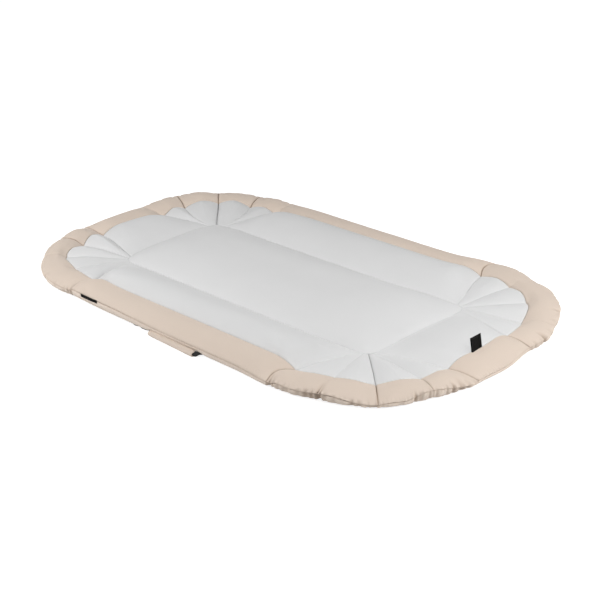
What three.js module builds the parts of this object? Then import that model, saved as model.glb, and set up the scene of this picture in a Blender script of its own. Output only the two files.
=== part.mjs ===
// An infant lounger opened out flat as a padded mat.
// A raised mattress lies in the middle. Four bolsters, two long and two short, slope away from its
// crease, and a fan of four puffed lobes fills each corner. White lining covers the inner part of
// the bolsters, a beige rim covers the outer part, and one beige underside closes the pad below.
// The long sides fold up along the mattress creases, and a carry handle pulls out from under each.
// Lengths are in millimetres. +X runs to the foot end, +Y to the far side and +Z up.
// The origin is at the middle of the floor that the mat lies on.

import * as THREE from 'three';

// Mattress
const mattressLength = 700;
const mattressWidth = 281;
const mattressCornerRadius = 30;
const mattressCrownHeight = 44;
const mattressShoulderWidth = 90;
const mattressCrownPower = 2.2;

// Fans: each is drawn round a centre that lies in from the mattress's corner
const fanInsetLengthX = 56.3;
const fanInsetLengthY = 51.6;
const fanRadiusX = 213.1;
const fanRadiusY = 199;
const endRimWidth = 59.5;
const sideRimWidth = 62.9;
const lobesPerFan = 4;
const columnsPerLobe = 3;
const boundaryScallopDepth = 3;
const edgeScallopDepth = 5;

// Cross-sections: height of the lining's seam with the rim, and how far the lining swells, along the
// middle of a straight panel, the middle of a lobe and a radial seam
const panelBoundaryHeight = 33;
const panelPuffHeight = 17;
const lobeBoundaryHeight = 28;
const lobePuffHeight = 13;
const seamBoundaryHeight = 18;
const seamPuffHeight = 4;
const pinchWidth = 50;
const swellPower = 2.6;
const rimFallPower = 1.8;

// Covers and seams
const coverThickness = 1.2;
const seamClearance = 0.4;
const layerClearance = 0.3;
const creaseSeamHeight = 13;
const edgeSeamHeight = 18;
const grooveWidth = 24;
const edgeLiftWidth = 56.6;
const edgeLiftPower = 1.6;

// Edge elastics, one in each fan's hem
const elasticRadius = 1.5;
const elasticClearance = 0.6;
const elasticSides = 6;
const elasticEndShare = 0.03;

// Carry handles
const handleSpanLength = 270;
const handleAnchorLength = 30;
const handleAnchorInsetWidth = 24.8;
const webbingWidth = 18;
const webbingThickness = 1.6;
const webbingClearance = 0.4;
const gripLength = 140;
const gripWidth = 24;
const gripHeight = 13;
const gripShiftLength = 20;
const gripStandOutWidth = 5.2;
const gripFloorClearance = 0.5;
const gripSides = 16;

// Labels
const tagWidth = 32;
const tagHeight = 30;
const tagThickness = 1;
const tagShiftLength = -15.5;
const tagLean = THREE.MathUtils.degToRad(10.6);
const labelLength = 56;
const labelHeight = 7;
const labelThickness = 1;
const labelInsetLength = 54.7;

// Grid lines of the pads, as shares of a panel's half length and of the lining or rim crossed
const sideColumnShares = [-1, -0.96, -0.84, -0.5, 0, 0.5, 0.84, 0.96, 1];
const endColumnShares = [-1, -0.88, -0.5, 0, 0.5, 0.88, 1];
const liningRowShares = [0.08, 0.24, 0.5, 0.8];
const rimRowShares = [0.3, 0.6, 0.85];
const mattressColumnShares = [0.25, 0.58];
const mattressRowShares = [0.32];

// Each leg of a handle's strap, from its anchor to the grip: shares of its way along and out
const legAlongShares = [0, 0.35, 0.7, 1];
const legOutShares = [0, 0.3, 0.75, 1];

// Places that follow from the sizes above
const mattressHalfLength = mattressLength / 2;
const mattressHalfWidth = mattressWidth / 2;
const fanCentreX = mattressHalfLength - fanInsetLengthX;
const fanCentreY = mattressHalfWidth - fanInsetLengthY;
const arcCentreX = mattressHalfLength - mattressCornerRadius;
const arcCentreY = mattressHalfWidth - mattressCornerRadius;
const sideLiningWidth = fanCentreY + fanRadiusY - mattressHalfWidth;
const halfLength = fanCentreX + fanRadiusX + endRimWidth;
const halfWidth = fanCentreY + fanRadiusY + sideRimWidth;
const creaseTop = creaseSeamHeight + layerClearance / 2 + coverThickness;
const creaseBottom = creaseSeamHeight - layerClearance / 2 - coverThickness;
const edgeTop = edgeSeamHeight + layerClearance / 2 + coverThickness;
const edgeBottom = edgeSeamHeight - layerClearance / 2 - coverThickness;
const panelSection = { boundary: panelBoundaryHeight, puff: panelPuffHeight };
const lobeSection = { boundary: lobeBoundaryHeight, puff: lobePuffHeight };
const seamSection = { boundary: seamBoundaryHeight, puff: seamPuffHeight };
const grooveShare = grooveWidth / sideLiningWidth;
const edgeLiftShare = edgeLiftWidth / sideRimWidth;
const creaseGapShare = seamClearance / 2 / sideLiningWidth;
const boundaryGapShare = seamClearance / 2 / sideRimWidth;

// Finishes
const liningFabric = new THREE.MeshStandardMaterial({ color: 0xe4e4e4, roughness: 0.9, metalness: 0 });
const rimFabric = new THREE.MeshStandardMaterial({ color: 0xd8cabd, roughness: 0.85, metalness: 0 });
const undersideFabric = new THREE.MeshStandardMaterial({ color: 0xd2c4b6, roughness: 0.85, metalness: 0 });
const foam = new THREE.MeshStandardMaterial({ color: 0xf1ecdf, roughness: 1, metalness: 0 });
const fibre = new THREE.MeshStandardMaterial({ color: 0xf5f5f2, roughness: 1, metalness: 0 });
const webbingBlack = new THREE.MeshStandardMaterial({ color: 0x1d1c1c, roughness: 0.7, metalness: 0 });
const labelBlack = new THREE.MeshStandardMaterial({ color: 0x121212, roughness: 0.6, metalness: 0 });
const elasticWhite = new THREE.MeshStandardMaterial({ color: 0xe8e6e2, roughness: 0.8, metalness: 0 });

const lerp = THREE.MathUtils.lerp;

// Solid geometry

function enclosedVolume(points, triangles) {
  const corners = [new THREE.Vector3(), new THREE.Vector3(), new THREE.Vector3()];
  let total = 0;
  for (let start = 0; start < triangles.length; start += 3) {
    corners.forEach((corner, index) => corner.fromArray(points, 3 * triangles[start + index]));
    total += corners[0].dot(corners[1].clone().cross(corners[2]));
  }
  return total;
}

// A closed slab over a grid of columns and rows, between two height fields
function slab(columns, rows, place, low, high) {
  const layerSize = columns.length * rows.length;
  const points = [];
  for (const height of [low, high]) {
    for (const column of columns) {
      for (const row of rows) {
        points.push(...place(column, row), height(column, row));
      }
    }
  }
  const bottom = (i, j) => i * rows.length + j;
  const top = (i, j) => layerSize + bottom(i, j);
  const triangles = [];
  const quad = (a, b, c, d) => triangles.push(a, b, c, a, c, d);
  const lastColumn = columns.length - 1;
  const lastRow = rows.length - 1;
  for (let i = 0; i < lastColumn; i += 1) {
    for (let j = 0; j < lastRow; j += 1) {
      quad(top(i, j), top(i + 1, j), top(i + 1, j + 1), top(i, j + 1));
      quad(bottom(i, j), bottom(i, j + 1), bottom(i + 1, j + 1), bottom(i + 1, j));
    }
    quad(bottom(i, 0), bottom(i + 1, 0), top(i + 1, 0), top(i, 0));
    quad(bottom(i + 1, lastRow), bottom(i, lastRow), top(i, lastRow), top(i + 1, lastRow));
  }
  for (let j = 0; j < lastRow; j += 1) {
    quad(bottom(0, j + 1), bottom(0, j), top(0, j), top(0, j + 1));
    quad(bottom(lastColumn, j), bottom(lastColumn, j + 1), top(lastColumn, j + 1), top(lastColumn, j));
  }
  if (enclosedVolume(points, triangles) < 0) {
    triangles.reverse();
  }
  const geometry = new THREE.BufferGeometry();
  geometry.setAttribute('position', new THREE.Float32BufferAttribute(points, 3));
  geometry.setIndex(triangles);
  geometry.computeVertexNormals();
  return geometry;
}

function piece(name, geometry, material) {
  const mesh = new THREE.Mesh(geometry, material);
  mesh.name = name;
  return mesh;
}

// Heights of the pads
// A row runs from 0 at the mattress's crease, through 1 at the lining's seam with the rim, to 2 at
// the outer edge. Fullness is 0 on a radial seam and 1 out in the middle of a panel or lobe.

function swell(share) {
  return 1 - Math.abs(2 * share - 1) ** swellPower;
}

function sectionHeight(row, section) {
  if (row <= 1) {
    return lerp(creaseTop, section.boundary, row) + section.puff * swell(row);
  }
  return lerp(section.boundary, edgeTop, (row - 1) ** rimFallPower);
}

function fullness(distanceFromSeam) {
  return 1 - Math.max(0, 1 - distanceFromSeam / pinchWidth) ** 2;
}

function padTop(row, section, distanceFromSeam) {
  return lerp(sectionHeight(row, seamSection), sectionHeight(row, section), fullness(distanceFromSeam));
}

function padBottom(row) {
  const groove = creaseBottom * Math.max(0, 1 - row / grooveShare) ** 2;
  const lift = Math.max(0, 1 - (2 - row) / edgeLiftShare);
  return groove + edgeBottom * lift ** edgeLiftPower;
}

// Shapes of the pads in plan, each with its own columns and heights

function straightPad(columns, innerHalf, boundaryHalf, distances, turn) {
  const place = (column, row) => {
    const inner = Math.min(row, 1);
    const outer = Math.max(row - 1, 0);
    const half = lerp(innerHalf, boundaryHalf, inner) - seamClearance;
    const out = lerp(distances.crease, distances.boundary, inner)
      + outer * (distances.edge - distances.boundary);
    return turn(column * half, out);
  };
  const top = (column, row) => padTop(row, panelSection, (1 - Math.abs(column)) * boundaryHalf);
  return { columns, place, top, bottom: (column, row) => padBottom(row) };
}

function sidePad(sideSign) {
  const distances = { crease: mattressHalfWidth, boundary: halfWidth - sideRimWidth, edge: halfWidth };
  const turn = (along, out) => [along, sideSign * out];
  return straightPad(sideColumnShares, arcCentreX, fanCentreX, distances, turn);
}

function endPad(endSign) {
  const distances = { crease: mattressHalfLength, boundary: halfLength - endRimWidth, edge: halfLength };
  const turn = (along, out) => [endSign * out, along];
  return straightPad(endColumnShares, arcCentreY, fanCentreY, distances, turn);
}

// A fan's columns run from 0 on the side panel's seam to the number of its lobes on the end panel's
function fanPad(endSign, sideSign) {
  const columns = [];
  for (let index = 0; index <= lobesPerFan * columnsPerLobe; index += 1) {
    columns.push(index / columnsPerLobe);
  }
  const place = (column, row) => {
    const angle = (1 - column / lobesPerFan) * Math.PI / 2;
    const bulge = Math.sin(Math.PI * (column % 1));
    const inner = [arcCentreX, arcCentreY, mattressCornerRadius, mattressCornerRadius];
    const boundaryBulge = boundaryScallopDepth * bulge;
    const middle = [fanCentreX, fanCentreY, fanRadiusX + boundaryBulge, fanRadiusY + boundaryBulge];
    const edgeBulge = edgeScallopDepth * bulge;
    const outerRadiusX = fanRadiusX + endRimWidth + edgeBulge;
    const outerRadiusY = fanRadiusY + sideRimWidth + edgeBulge;
    const outer = [fanCentreX, fanCentreY, outerRadiusX, outerRadiusY];
    const [from, to] = row <= 1 ? [inner, middle] : [middle, outer];
    const [centreX, centreY, radiusX, radiusY] = from.map((value, index) => (
      lerp(value, to[index], row <= 1 ? row : row - 1)));
    return [
      endSign * (centreX + radiusX * Math.cos(angle)),
      sideSign * (centreY + radiusY * Math.sin(angle)),
    ];
  };
  const lobeWidth = (fanRadiusY * Math.PI) / 2 / lobesPerFan;
  const top = (column, row) => {
    const share = column % 1;
    return padTop(row, lobeSection, Math.min(share, 1 - share) * lobeWidth);
  };
  return { columns, place, top, bottom: (column, row) => padBottom(row) };
}

// Every pad has a lining, a rim, a filling and an underside, one above the other with a clearance
function padPieces(name, pad) {
  const liningRows = [creaseGapShare, ...liningRowShares, 1 - creaseGapShare];
  const rimRows = [1 + boundaryGapShare, ...rimRowShares.map((share) => 1 + share), 2];
  const allRows = [creaseGapShare, ...liningRowShares, 1, ...rimRowShares.map((share) => 1 + share), 2];
  const under = (height, drop) => (column, row) => height(column, row) - drop;
  const over = (height, rise) => (column, row) => height(column, row) + rise;
  const spacing = coverThickness + layerClearance;
  const fillingTop = under(pad.top, spacing);
  const fillingBottom = over(pad.bottom, spacing);
  const innerColumns = pad.columns.slice(1, -1);
  const innerRows = allRows.slice(1, -2);
  return [
    piece(`${name}_lining`, slab(pad.columns, liningRows, pad.place, under(pad.top, coverThickness), pad.top),
      liningFabric),
    piece(`${name}_rim`, slab(pad.columns, rimRows, pad.place, under(pad.top, coverThickness), pad.top),
      rimFabric),
    piece(`${name}_filling`, slab(innerColumns, innerRows, pad.place, fillingBottom, fillingTop), fibre),
    piece(`${name}_underside`, slab(pad.columns, allRows, pad.place, pad.bottom,
      over(pad.bottom, coverThickness)), undersideFabric),
  ];
}

// Mattress
// Its grid lines are distances in from the edge, and the outermost block of each corner is rounded.

function mattressLines(half, shares) {
  const cornerLine = Math.SQRT2 * Math.sin(Math.PI / 8) * mattressCornerRadius;
  const arcStart = half - mattressCornerRadius;
  const positive = [...shares.map((share) => share * arcStart), arcStart, arcStart + cornerLine, half];
  return [...positive.map((line) => -line).reverse(), 0, ...positive];
}

function mattressPlace(x, y) {
  const radius = mattressCornerRadius;
  const a = Math.max(0, (Math.abs(x) - arcCentreX) / radius);
  const b = Math.max(0, (Math.abs(y) - arcCentreY) / radius);
  if (a === 0 || b === 0) {
    return [x, y].map((value, index) => {
      const half = index === 0 ? mattressHalfLength : mattressHalfWidth;
      return value * (1 - seamClearance / 2 / half);
    });
  }
  const trimmed = radius - seamClearance / 2;
  return [
    Math.sign(x) * (arcCentreX + trimmed * a * Math.sqrt(1 - (b * b) / 2)),
    Math.sign(y) * (arcCentreY + trimmed * b * Math.sqrt(1 - (a * a) / 2)),
  ];
}

function mattressRise(distance) {
  return 1 - Math.max(0, 1 - distance / mattressShoulderWidth) ** mattressCrownPower;
}

function mattressTop(x, y) {
  const rise = mattressRise(mattressHalfLength - Math.abs(x)) * mattressRise(mattressHalfWidth - Math.abs(y));
  return lerp(creaseTop, mattressCrownHeight, rise);
}

function mattressBottom(x, y) {
  const distance = Math.min(mattressHalfLength - Math.abs(x), mattressHalfWidth - Math.abs(y));
  return creaseBottom * Math.max(0, 1 - distance / grooveWidth) ** 2;
}

function mattressPieces() {
  const columns = mattressLines(mattressHalfLength, mattressColumnShares);
  const rows = mattressLines(mattressHalfWidth, mattressRowShares);
  const innerColumns = columns.slice(1, -1);
  const innerRows = rows.slice(1, -1);
  const spacing = coverThickness + layerClearance;
  const coverBottom = (x, y) => mattressTop(x, y) - coverThickness;
  const foamTop = (x, y) => mattressTop(x, y) - spacing;
  const foamBottom = (x, y) => mattressBottom(x, y) + spacing;
  const undersideTop = (x, y) => mattressBottom(x, y) + coverThickness;
  return [
    piece('mattress_lining', slab(columns, rows, mattressPlace, coverBottom, mattressTop), liningFabric),
    piece('mattress_foam', slab(innerColumns, innerRows, mattressPlace, foamBottom, foamTop), foam),
    piece('mattress_underside', slab(columns, rows, mattressPlace, mattressBottom, undersideTop),
      undersideFabric),
  ];
}

// Elastic in a fan's hem, lying on the underside just inside the outer edge
function edgeElastic(name, pad) {
  const row = 1 + rimRowShares[rimRowShares.length - 1];
  const lift = coverThickness + elasticClearance + elasticRadius;
  const points = pad.columns.map((column) => {
    const inside = THREE.MathUtils.clamp(column, elasticEndShare, lobesPerFan - elasticEndShare);
    return new THREE.Vector3(...pad.place(inside, row), pad.bottom(inside, row) + lift);
  });
  const section = new THREE.Shape();
  section.absellipse(0, 0, elasticRadius, elasticRadius, 0, 2 * Math.PI);
  const geometry = new THREE.ExtrudeGeometry(section, {
    steps: points.length - 1,
    curveSegments: elasticSides / 2,
    bevelEnabled: false,
    extrudePath: new THREE.CatmullRomCurve3(points),
  });
  return piece(name, geometry, elasticWhite);
}

// Handles
// A webbing strap is sewn flat under the rim at both ends and runs through a padded grip that
// lies along the outer edge.

const gripCentreOut = halfWidth + gripStandOutWidth;
const gripCentreHeight = gripFloorClearance + gripHeight / 2;
const gripStart = gripShiftLength - gripLength / 2;
const gripEnd = gripShiftLength + gripLength / 2;
const anchorOuter = handleSpanLength / 2 + handleAnchorLength / 2;
const anchorInner = handleSpanLength / 2 - handleAnchorLength / 2;

function handleStrap(name, sideSign) {
  // A stop is a place along the strap: its distance along the mat, and its share of the way out
  const leg = (endSign, gripPlace) => [
    { along: endSign * anchorOuter, outShare: 0 },
    ...legAlongShares.map((share, index) => (
      { along: lerp(endSign * anchorInner, gripPlace, share), outShare: legOutShares[index] })),
  ];
  const stops = [...leg(-1, gripStart), ...leg(1, gripEnd).reverse()];
  const anchorOut = halfWidth - handleAnchorInsetWidth;
  const outAt = (stop, across) => (
    lerp(anchorOut, gripCentreOut, stop.outShare) + across * webbingWidth / 2);
  const sewnTop = (across) => {
    const row = 2 - (handleAnchorInsetWidth - across * webbingWidth / 2) / sideRimWidth;
    return padBottom(row) - webbingClearance;
  };
  const top = (stop, across) => (
    lerp(sewnTop(across), gripCentreHeight + webbingThickness / 2, stop.outShare));
  const place = (stop, across) => [stop.along, sideSign * outAt(stop, across)];
  const bottom = (stop, across) => top(stop, across) - webbingThickness;
  return piece(name, slab(stops, [-1, 0, 1], place, bottom, top), webbingBlack);
}

function ellipseOutline(halfAcross, halfHeight, kind) {
  const outline = new kind();
  outline.absellipse(0, 0, halfAcross, halfHeight, 0, 2 * Math.PI);
  return outline;
}

function slotOutline(halfAcross, halfHeight) {
  const outline = new THREE.Path();
  outline.moveTo(-halfAcross, -halfHeight);
  outline.lineTo(halfAcross, -halfHeight);
  outline.lineTo(halfAcross, halfHeight);
  outline.lineTo(-halfAcross, halfHeight);
  outline.closePath();
  return outline;
}

// A sleeve along the grip: the outline's first axis points across the mat and its second one up
function gripSleeve(name, outer, hole, sideSign, material) {
  outer.holes.push(hole);
  const geometry = new THREE.ExtrudeGeometry(outer, {
    depth: gripLength,
    steps: 1,
    curveSegments: gripSides,
    bevelEnabled: false,
  });
  const across = new THREE.Vector3(0, 1, 0);
  const up = new THREE.Vector3(0, 0, 1);
  const along = new THREE.Vector3(1, 0, 0);
  geometry.applyMatrix4(new THREE.Matrix4().makeBasis(across, up, along));
  const mesh = piece(name, geometry, material);
  mesh.position.set(gripStart, sideSign * gripCentreOut, gripCentreHeight);
  return mesh;
}

function gripPieces(name, sideSign) {
  const halfAcross = gripWidth / 2;
  const halfHeight = gripHeight / 2;
  const spacing = coverThickness + layerClearance;
  return [
    gripSleeve(`${name}_grip_cover`, ellipseOutline(halfAcross, halfHeight, THREE.Shape),
      ellipseOutline(halfAcross - coverThickness, halfHeight - coverThickness, THREE.Path),
      sideSign, rimFabric),
    gripSleeve(`${name}_grip_padding`,
      ellipseOutline(halfAcross - spacing, halfHeight - spacing, THREE.Shape),
      slotOutline(webbingWidth / 2 + layerClearance, webbingThickness / 2 + layerClearance),
      sideSign, foam),
  ];
}

// Labels
// The foot tag stands in the seam between lining and rim, and leans towards the mattress. The side
// label covers a short stretch of the outer edge seam near the head.

function footTag() {
  const geometry = new THREE.BoxGeometry(tagThickness, tagWidth, tagHeight);
  geometry.translate(0, 0, tagHeight / 2);
  const mesh = piece('foot_tag', geometry, labelBlack);
  mesh.rotation.y = -tagLean;
  mesh.position.set(halfLength - endRimWidth, tagShiftLength, panelSection.boundary + seamClearance);
  return mesh;
}

function sideLabel() {
  const geometry = new THREE.BoxGeometry(labelLength, labelThickness, labelHeight);
  const mesh = piece('side_label', geometry, labelBlack);
  const out = halfWidth + layerClearance + labelThickness / 2;
  mesh.position.set(labelInsetLength - fanCentreX, -out, edgeTop - labelHeight / 2);
  return mesh;
}

// Assembly: the base lies on the floor, the sides fold up from it, and the handles ride on the sides

const base = new THREE.Group();
base.add(...mattressPieces());
base.add(...padPieces('head_end', endPad(-1)));
base.add(...padPieces('foot_end', endPad(1)));
base.add(footTag());
for (const [sideName, sideSign] of [['near', -1], ['far', 1]]) {
  for (const [endName, endSign] of [['head', -1], ['foot', 1]]) {
    const name = `${sideName}_${endName}_corner`;
    const pad = fanPad(endSign, sideSign);
    base.add(...padPieces(name, pad), edgeElastic(`${name}_elastic`, pad));
  }
}

const lounger = new THREE.Group();
lounger.add(base);
for (const [sideName, sideSign] of [['near', -1], ['far', 1]]) {
  const side = new THREE.Group();
  side.add(...padPieces(`${sideName}_side`, sidePad(sideSign)));
  side.add(handleStrap(`${sideName}_handle_webbing`, sideSign));
  if (sideSign < 0) {
    side.add(sideLabel());
  }
  const handle = new THREE.Group();
  handle.add(...gripPieces(`${sideName}_handle`, sideSign));
  side.add(handle);
  lounger.add(side);
}

export default lounger;
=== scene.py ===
"""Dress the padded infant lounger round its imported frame: covers, seams, handles, labels and studio.

Lengths are in metres. +X runs to the foot end, +Y to the far side and +Z up.
"""

import itertools
import logging
import math
from dataclasses import dataclass, field
from enum import Enum

import bpy
import numpy as np
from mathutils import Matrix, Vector


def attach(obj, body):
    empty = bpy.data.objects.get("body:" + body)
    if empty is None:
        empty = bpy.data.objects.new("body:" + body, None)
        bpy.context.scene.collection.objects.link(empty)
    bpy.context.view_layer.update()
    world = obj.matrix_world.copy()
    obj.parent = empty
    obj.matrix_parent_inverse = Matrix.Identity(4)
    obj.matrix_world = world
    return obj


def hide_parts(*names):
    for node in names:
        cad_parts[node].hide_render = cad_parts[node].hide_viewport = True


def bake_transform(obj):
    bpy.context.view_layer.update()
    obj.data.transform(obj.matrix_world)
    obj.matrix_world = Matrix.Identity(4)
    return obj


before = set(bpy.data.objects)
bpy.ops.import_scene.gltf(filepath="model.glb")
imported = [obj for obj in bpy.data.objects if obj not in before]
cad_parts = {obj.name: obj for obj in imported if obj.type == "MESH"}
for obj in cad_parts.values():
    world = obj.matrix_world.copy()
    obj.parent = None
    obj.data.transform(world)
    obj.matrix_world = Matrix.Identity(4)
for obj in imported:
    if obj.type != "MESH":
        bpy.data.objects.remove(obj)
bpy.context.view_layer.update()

LOG = logging.getLogger("lounger")
Array = np.ndarray
Colour = tuple[float, float, float, float]
Pair = tuple[float, float]
Values = tuple[float, ...]
FULL_TURN = 2 * math.pi
QUARTER_TURN = math.pi / 2
MILLIMETRE = 0.001
# Where the fine grid lines beside a seam lie
SEAM_LADDER = (0.0005, 0.0011, 0.0019, 0.003, 0.0045, 0.0066, 0.0092)
SHARP_ANGLE = math.radians(70)
NOISE_DETAIL = 2.0
# The small waves beside a seam: their length, and the noise that makes them uneven
PUCKER_LENGTH = 0.0072
PUCKER_NOISE_SCALE = 24.0
PUCKER_DRIFT = 9.0
# How far along the mat a corner draws the mattress's crease off its place
CREASE_REACH = 0.10
# The seed of the first pad's unevenness
FIRST_SEED = 11
# How full the padded pieces are
BOLSTER_FILL, COVER_FILL, MATTRESS_FILL, GRIP_FILL = 0.7, 0.3, 0.8, 0.6
# How far a stuffing stays off the cover below and above it
STUFFING_GAP = 0.0002
CEILING_GAP = 0.0004


class Edge(Enum):
    """A side or an end of the mat."""

    @property
    def word(self) -> str:
        """The edge's name as the frame writes it."""
        return self.name.lower()


class LongSide(Edge):
    """The two long sides of the mat, by the sign of their Y."""

    NEAR = -1
    FAR = 1

    @property
    def body(self) -> str:
        """The body that folds up on this side."""
        return f"side_{self.word}"

    @property
    def handle_body(self) -> str:
        """The body of this side's carry handle."""
        return f"handle_{self.word}"


class ShortEnd(Edge):
    """The two short ends of the mat, by the sign of their X."""

    HEAD = -1
    FOOT = 1


def lerp(start: Array, end: Array, share: Array) -> Array:
    """Mix start and end by share."""
    return start + (end - start) * share


def smooth_step(share: Array) -> Array:
    """Ease a share from 0 to 1 with level ends."""
    share = np.clip(share, 0, 1)
    return share * share * (3 - 2 * share)


def bell(distance: Array, width: float) -> Array:
    """A bump of height 1 at distance 0 that dies away over width."""
    return np.exp(-((distance / width) ** 2))


def graded(length: float, step: float, fine_start: bool = True, fine_end: bool = True) -> Array:
    """Space grid lines over a length, closer together beside a seam.

    Args:
        length: The distance to cover.
        step: The spacing away from the seams.
        fine_start: Whether a seam lies at 0.
        fine_end: Whether a seam lies at length.

    Returns:
        Rising distances from 0 to length.
    """
    low = SEAM_LADDER[-1] if fine_start else 0.0
    high = length - (SEAM_LADDER[-1] if fine_end else 0.0)
    count = max(2, round((high - low) / step) + 1)
    start = [0.0, *SEAM_LADDER[:-1]] if fine_start else []
    end = [length - x for x in reversed(SEAM_LADDER[:-1])] + [length] if fine_end else []
    return np.array([*start, *np.linspace(low, high, count), *end])


class SoftNoise:
    """Smooth value noise over the plan, the same on every run."""

    count = 64
    offset = (0.37, 0.71)

    def __init__(self, seed: int, cell: float) -> None:
        """Draw the values.

        Args:
            seed: The random seed.
            cell: The size of one lump.
        """
        self.cell = cell
        self.values = np.random.default_rng(seed).uniform(-1, 1, (self.count, self.count))

    def at(self, x: Array, y: Array) -> Array:
        """Read the noise at places in the plan.

        Args:
            x: Places along the mat.
            y: Places across the mat.

        Returns:
            Values from -1 to 1.
        """
        column = x / self.cell + self.count / 2 + self.offset[0]
        row = y / self.cell + self.count / 2 + self.offset[1]
        i, j = np.floor(column).astype(int), np.floor(row).astype(int)
        this, following = i % self.count, (i + 1) % self.count
        near, far = (lerp(self.values[this, line], self.values[following, line], smooth_step(column - i))
                     for line in (j % self.count, (j + 1) % self.count))
        return lerp(near, far, smooth_step(row - j))


@dataclass(frozen=True)
class MatPlan:
    """Where the mat's seams lie, seen from above."""

    mattress_half_length: float = 0.350
    mattress_half_width: float = 0.1405
    corner_radius: float = 0.020
    fan_centre_x: float = 0.2937
    fan_centre_y: float = 0.0889
    fan_radius_x: float = 0.2131
    fan_radius_y: float = 0.199
    end_rim_width: float = 0.0595
    side_rim_width: float = 0.0629
    lobes: int = 4
    boundary_scallop: float = 0.003
    seam_gap: float = 0.00015

    @property
    def arc_centre_x(self) -> float:
        """Centre of the mattress's corner, along the mat."""
        return self.mattress_half_length - self.corner_radius

    @property
    def arc_centre_y(self) -> float:
        """Centre of the mattress's corner, across the mat."""
        return self.mattress_half_width - self.corner_radius

    @property
    def side_lining_width(self) -> float:
        """Width of a long side's lining, from crease to rim."""
        return self.fan_centre_y + self.fan_radius_y - self.mattress_half_width

    @property
    def end_lining_width(self) -> float:
        """Width of a short end's lining, from crease to rim."""
        return self.fan_centre_x + self.fan_radius_x - self.mattress_half_length

    @property
    def lobe_width(self) -> float:
        """Width of one lobe at the lining's seam with the rim."""
        return self.fan_radius_y * QUARTER_TURN / self.lobes


@dataclass(frozen=True)
class Section:
    """Heights of one cross-section: its lining seam, and how far the lining and the rim swell."""

    boundary: float
    puff: float
    rim: float
    power: float = 3.5

    def swollen(self, swell: float, power: float) -> "Section":
        """The same section with its lining swelling more or less, and later or sooner."""
        return Section(self.boundary, self.puff * swell, self.rim, power)


@dataclass(frozen=True)
class PadForm:
    """How the padded covers rise, roll over and are drawn in at their seams."""

    crease: float = 0.0125
    crease_under: float = 0.0088
    groove_width: float = 0.024
    hem: float = 0.018
    lip: float = 0.0016
    panel: Section = Section(0.033, 0.0268, 0.003)
    lobe: Section = Section(0.028, 0.0196, 0.005)
    seam: Section = Section(0.018, 0.0036, 0.004)
    pinch_width: float = 0.050
    crest_start: float = 0.45
    crest_opening: float = 1.5
    seam_start: float = 0.20
    seam_opening: float = 0.7
    rim_power: float = 2.0
    rim_roundness: float = 0.62
    rim_swell_power: float = 0.8
    ditch_depth: float = 0.0018
    ditch_width: float = 0.0014
    belly_width: float = 0.027
    belly_power: float = 2.6
    handle_lift: float = 0.0125
    handle_lift_width: float = 0.0566
    handle_lift_power: float = 1.3
    hem_turn: float = 0.003
    cover: float = 0.0012

    def height(self, row: Array, section: Section) -> Array:
        """Height of the upper cover.

        Args:
            row: 0 at the crease, 1 at the lining's seam with the rim, 2 at the outer edge.
            section: The cross-section's sizes.

        Returns:
            Heights above the floor.
        """
        inner = np.clip(row, 0, 1)
        late = inner**section.power
        peak = section.power ** (-1 / (section.power - 1)) * (1 - 1 / section.power)
        lining = lerp(self.crease, section.boundary, late) + section.puff * (inner - late) / peak
        outer = np.clip(row - 1, 0, 1)
        foot = self.hem + self.lip
        rim = foot + (section.boundary - foot) * (1 - outer**self.rim_power) ** self.rim_roundness
        rim = rim + section.rim * np.sin(math.pi * outer) ** self.rim_swell_power
        return np.where(row <= 1, lining, rim)

    def fan_height(self, row: Array, crest: bool, swell: float = 1.0) -> Array:
        """Height of a fan's cover along a lobe's crest or along a radial seam.

        Args:
            row: 0 at the crease, 1 at the lining's seam with the rim, 2 at the outer edge.
            crest: Whether the crest is meant, not the seam.
            swell: How much the crest swells, against its regular section.

        Returns:
            Heights above the floor, which lie closer together where the lobes are narrow.
        """
        inner = np.clip(row, 0, 1)
        rising = lerp(self.crest_start, 1.0, inner**self.crest_opening)
        share = rising if crest else self.seam_start * (1 - inner**self.seam_opening)
        lobe = self.lobe.swollen(swell, self.lobe.power)
        return lerp(self.height(row, self.seam), self.height(row, lobe), share)

    def handle_belly(self, inset: Array) -> Array:
        """Height of the underside above a handle.

        Args:
            inset: Distances in from the outer edge.

        Returns:
            Heights above the floor.
        """
        share = np.clip(1 - (inset - self.hem_turn) / (self.handle_lift_width - self.hem_turn), 0, 1)
        turn = 1 - np.sqrt(np.clip(1 - (1 - np.clip(inset / self.hem_turn, 0, 1)) ** 2, 0, 1))
        edge = self.hem - self.lip - self.handle_lift
        return self.handle_lift * share**self.handle_lift_power + edge * turn

    def under_crease_height(self, distance: Array) -> Array:
        """Height of the underside where it is drawn up to the crease."""
        return self.crease_under * np.maximum(0, 1 - distance / self.groove_width) ** 2

    def fullness(self, distance: Array) -> Array:
        """How far a cover has swelled at a distance from its radial seam, from 0 to 1."""
        return 1 - np.maximum(0, 1 - distance / self.pinch_width) ** 2

    def ditch(self, distance: Array) -> Array:
        """How deep a sewn ditch is at a distance from its stitches."""
        return self.ditch_depth * bell(distance, self.ditch_width)


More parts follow.
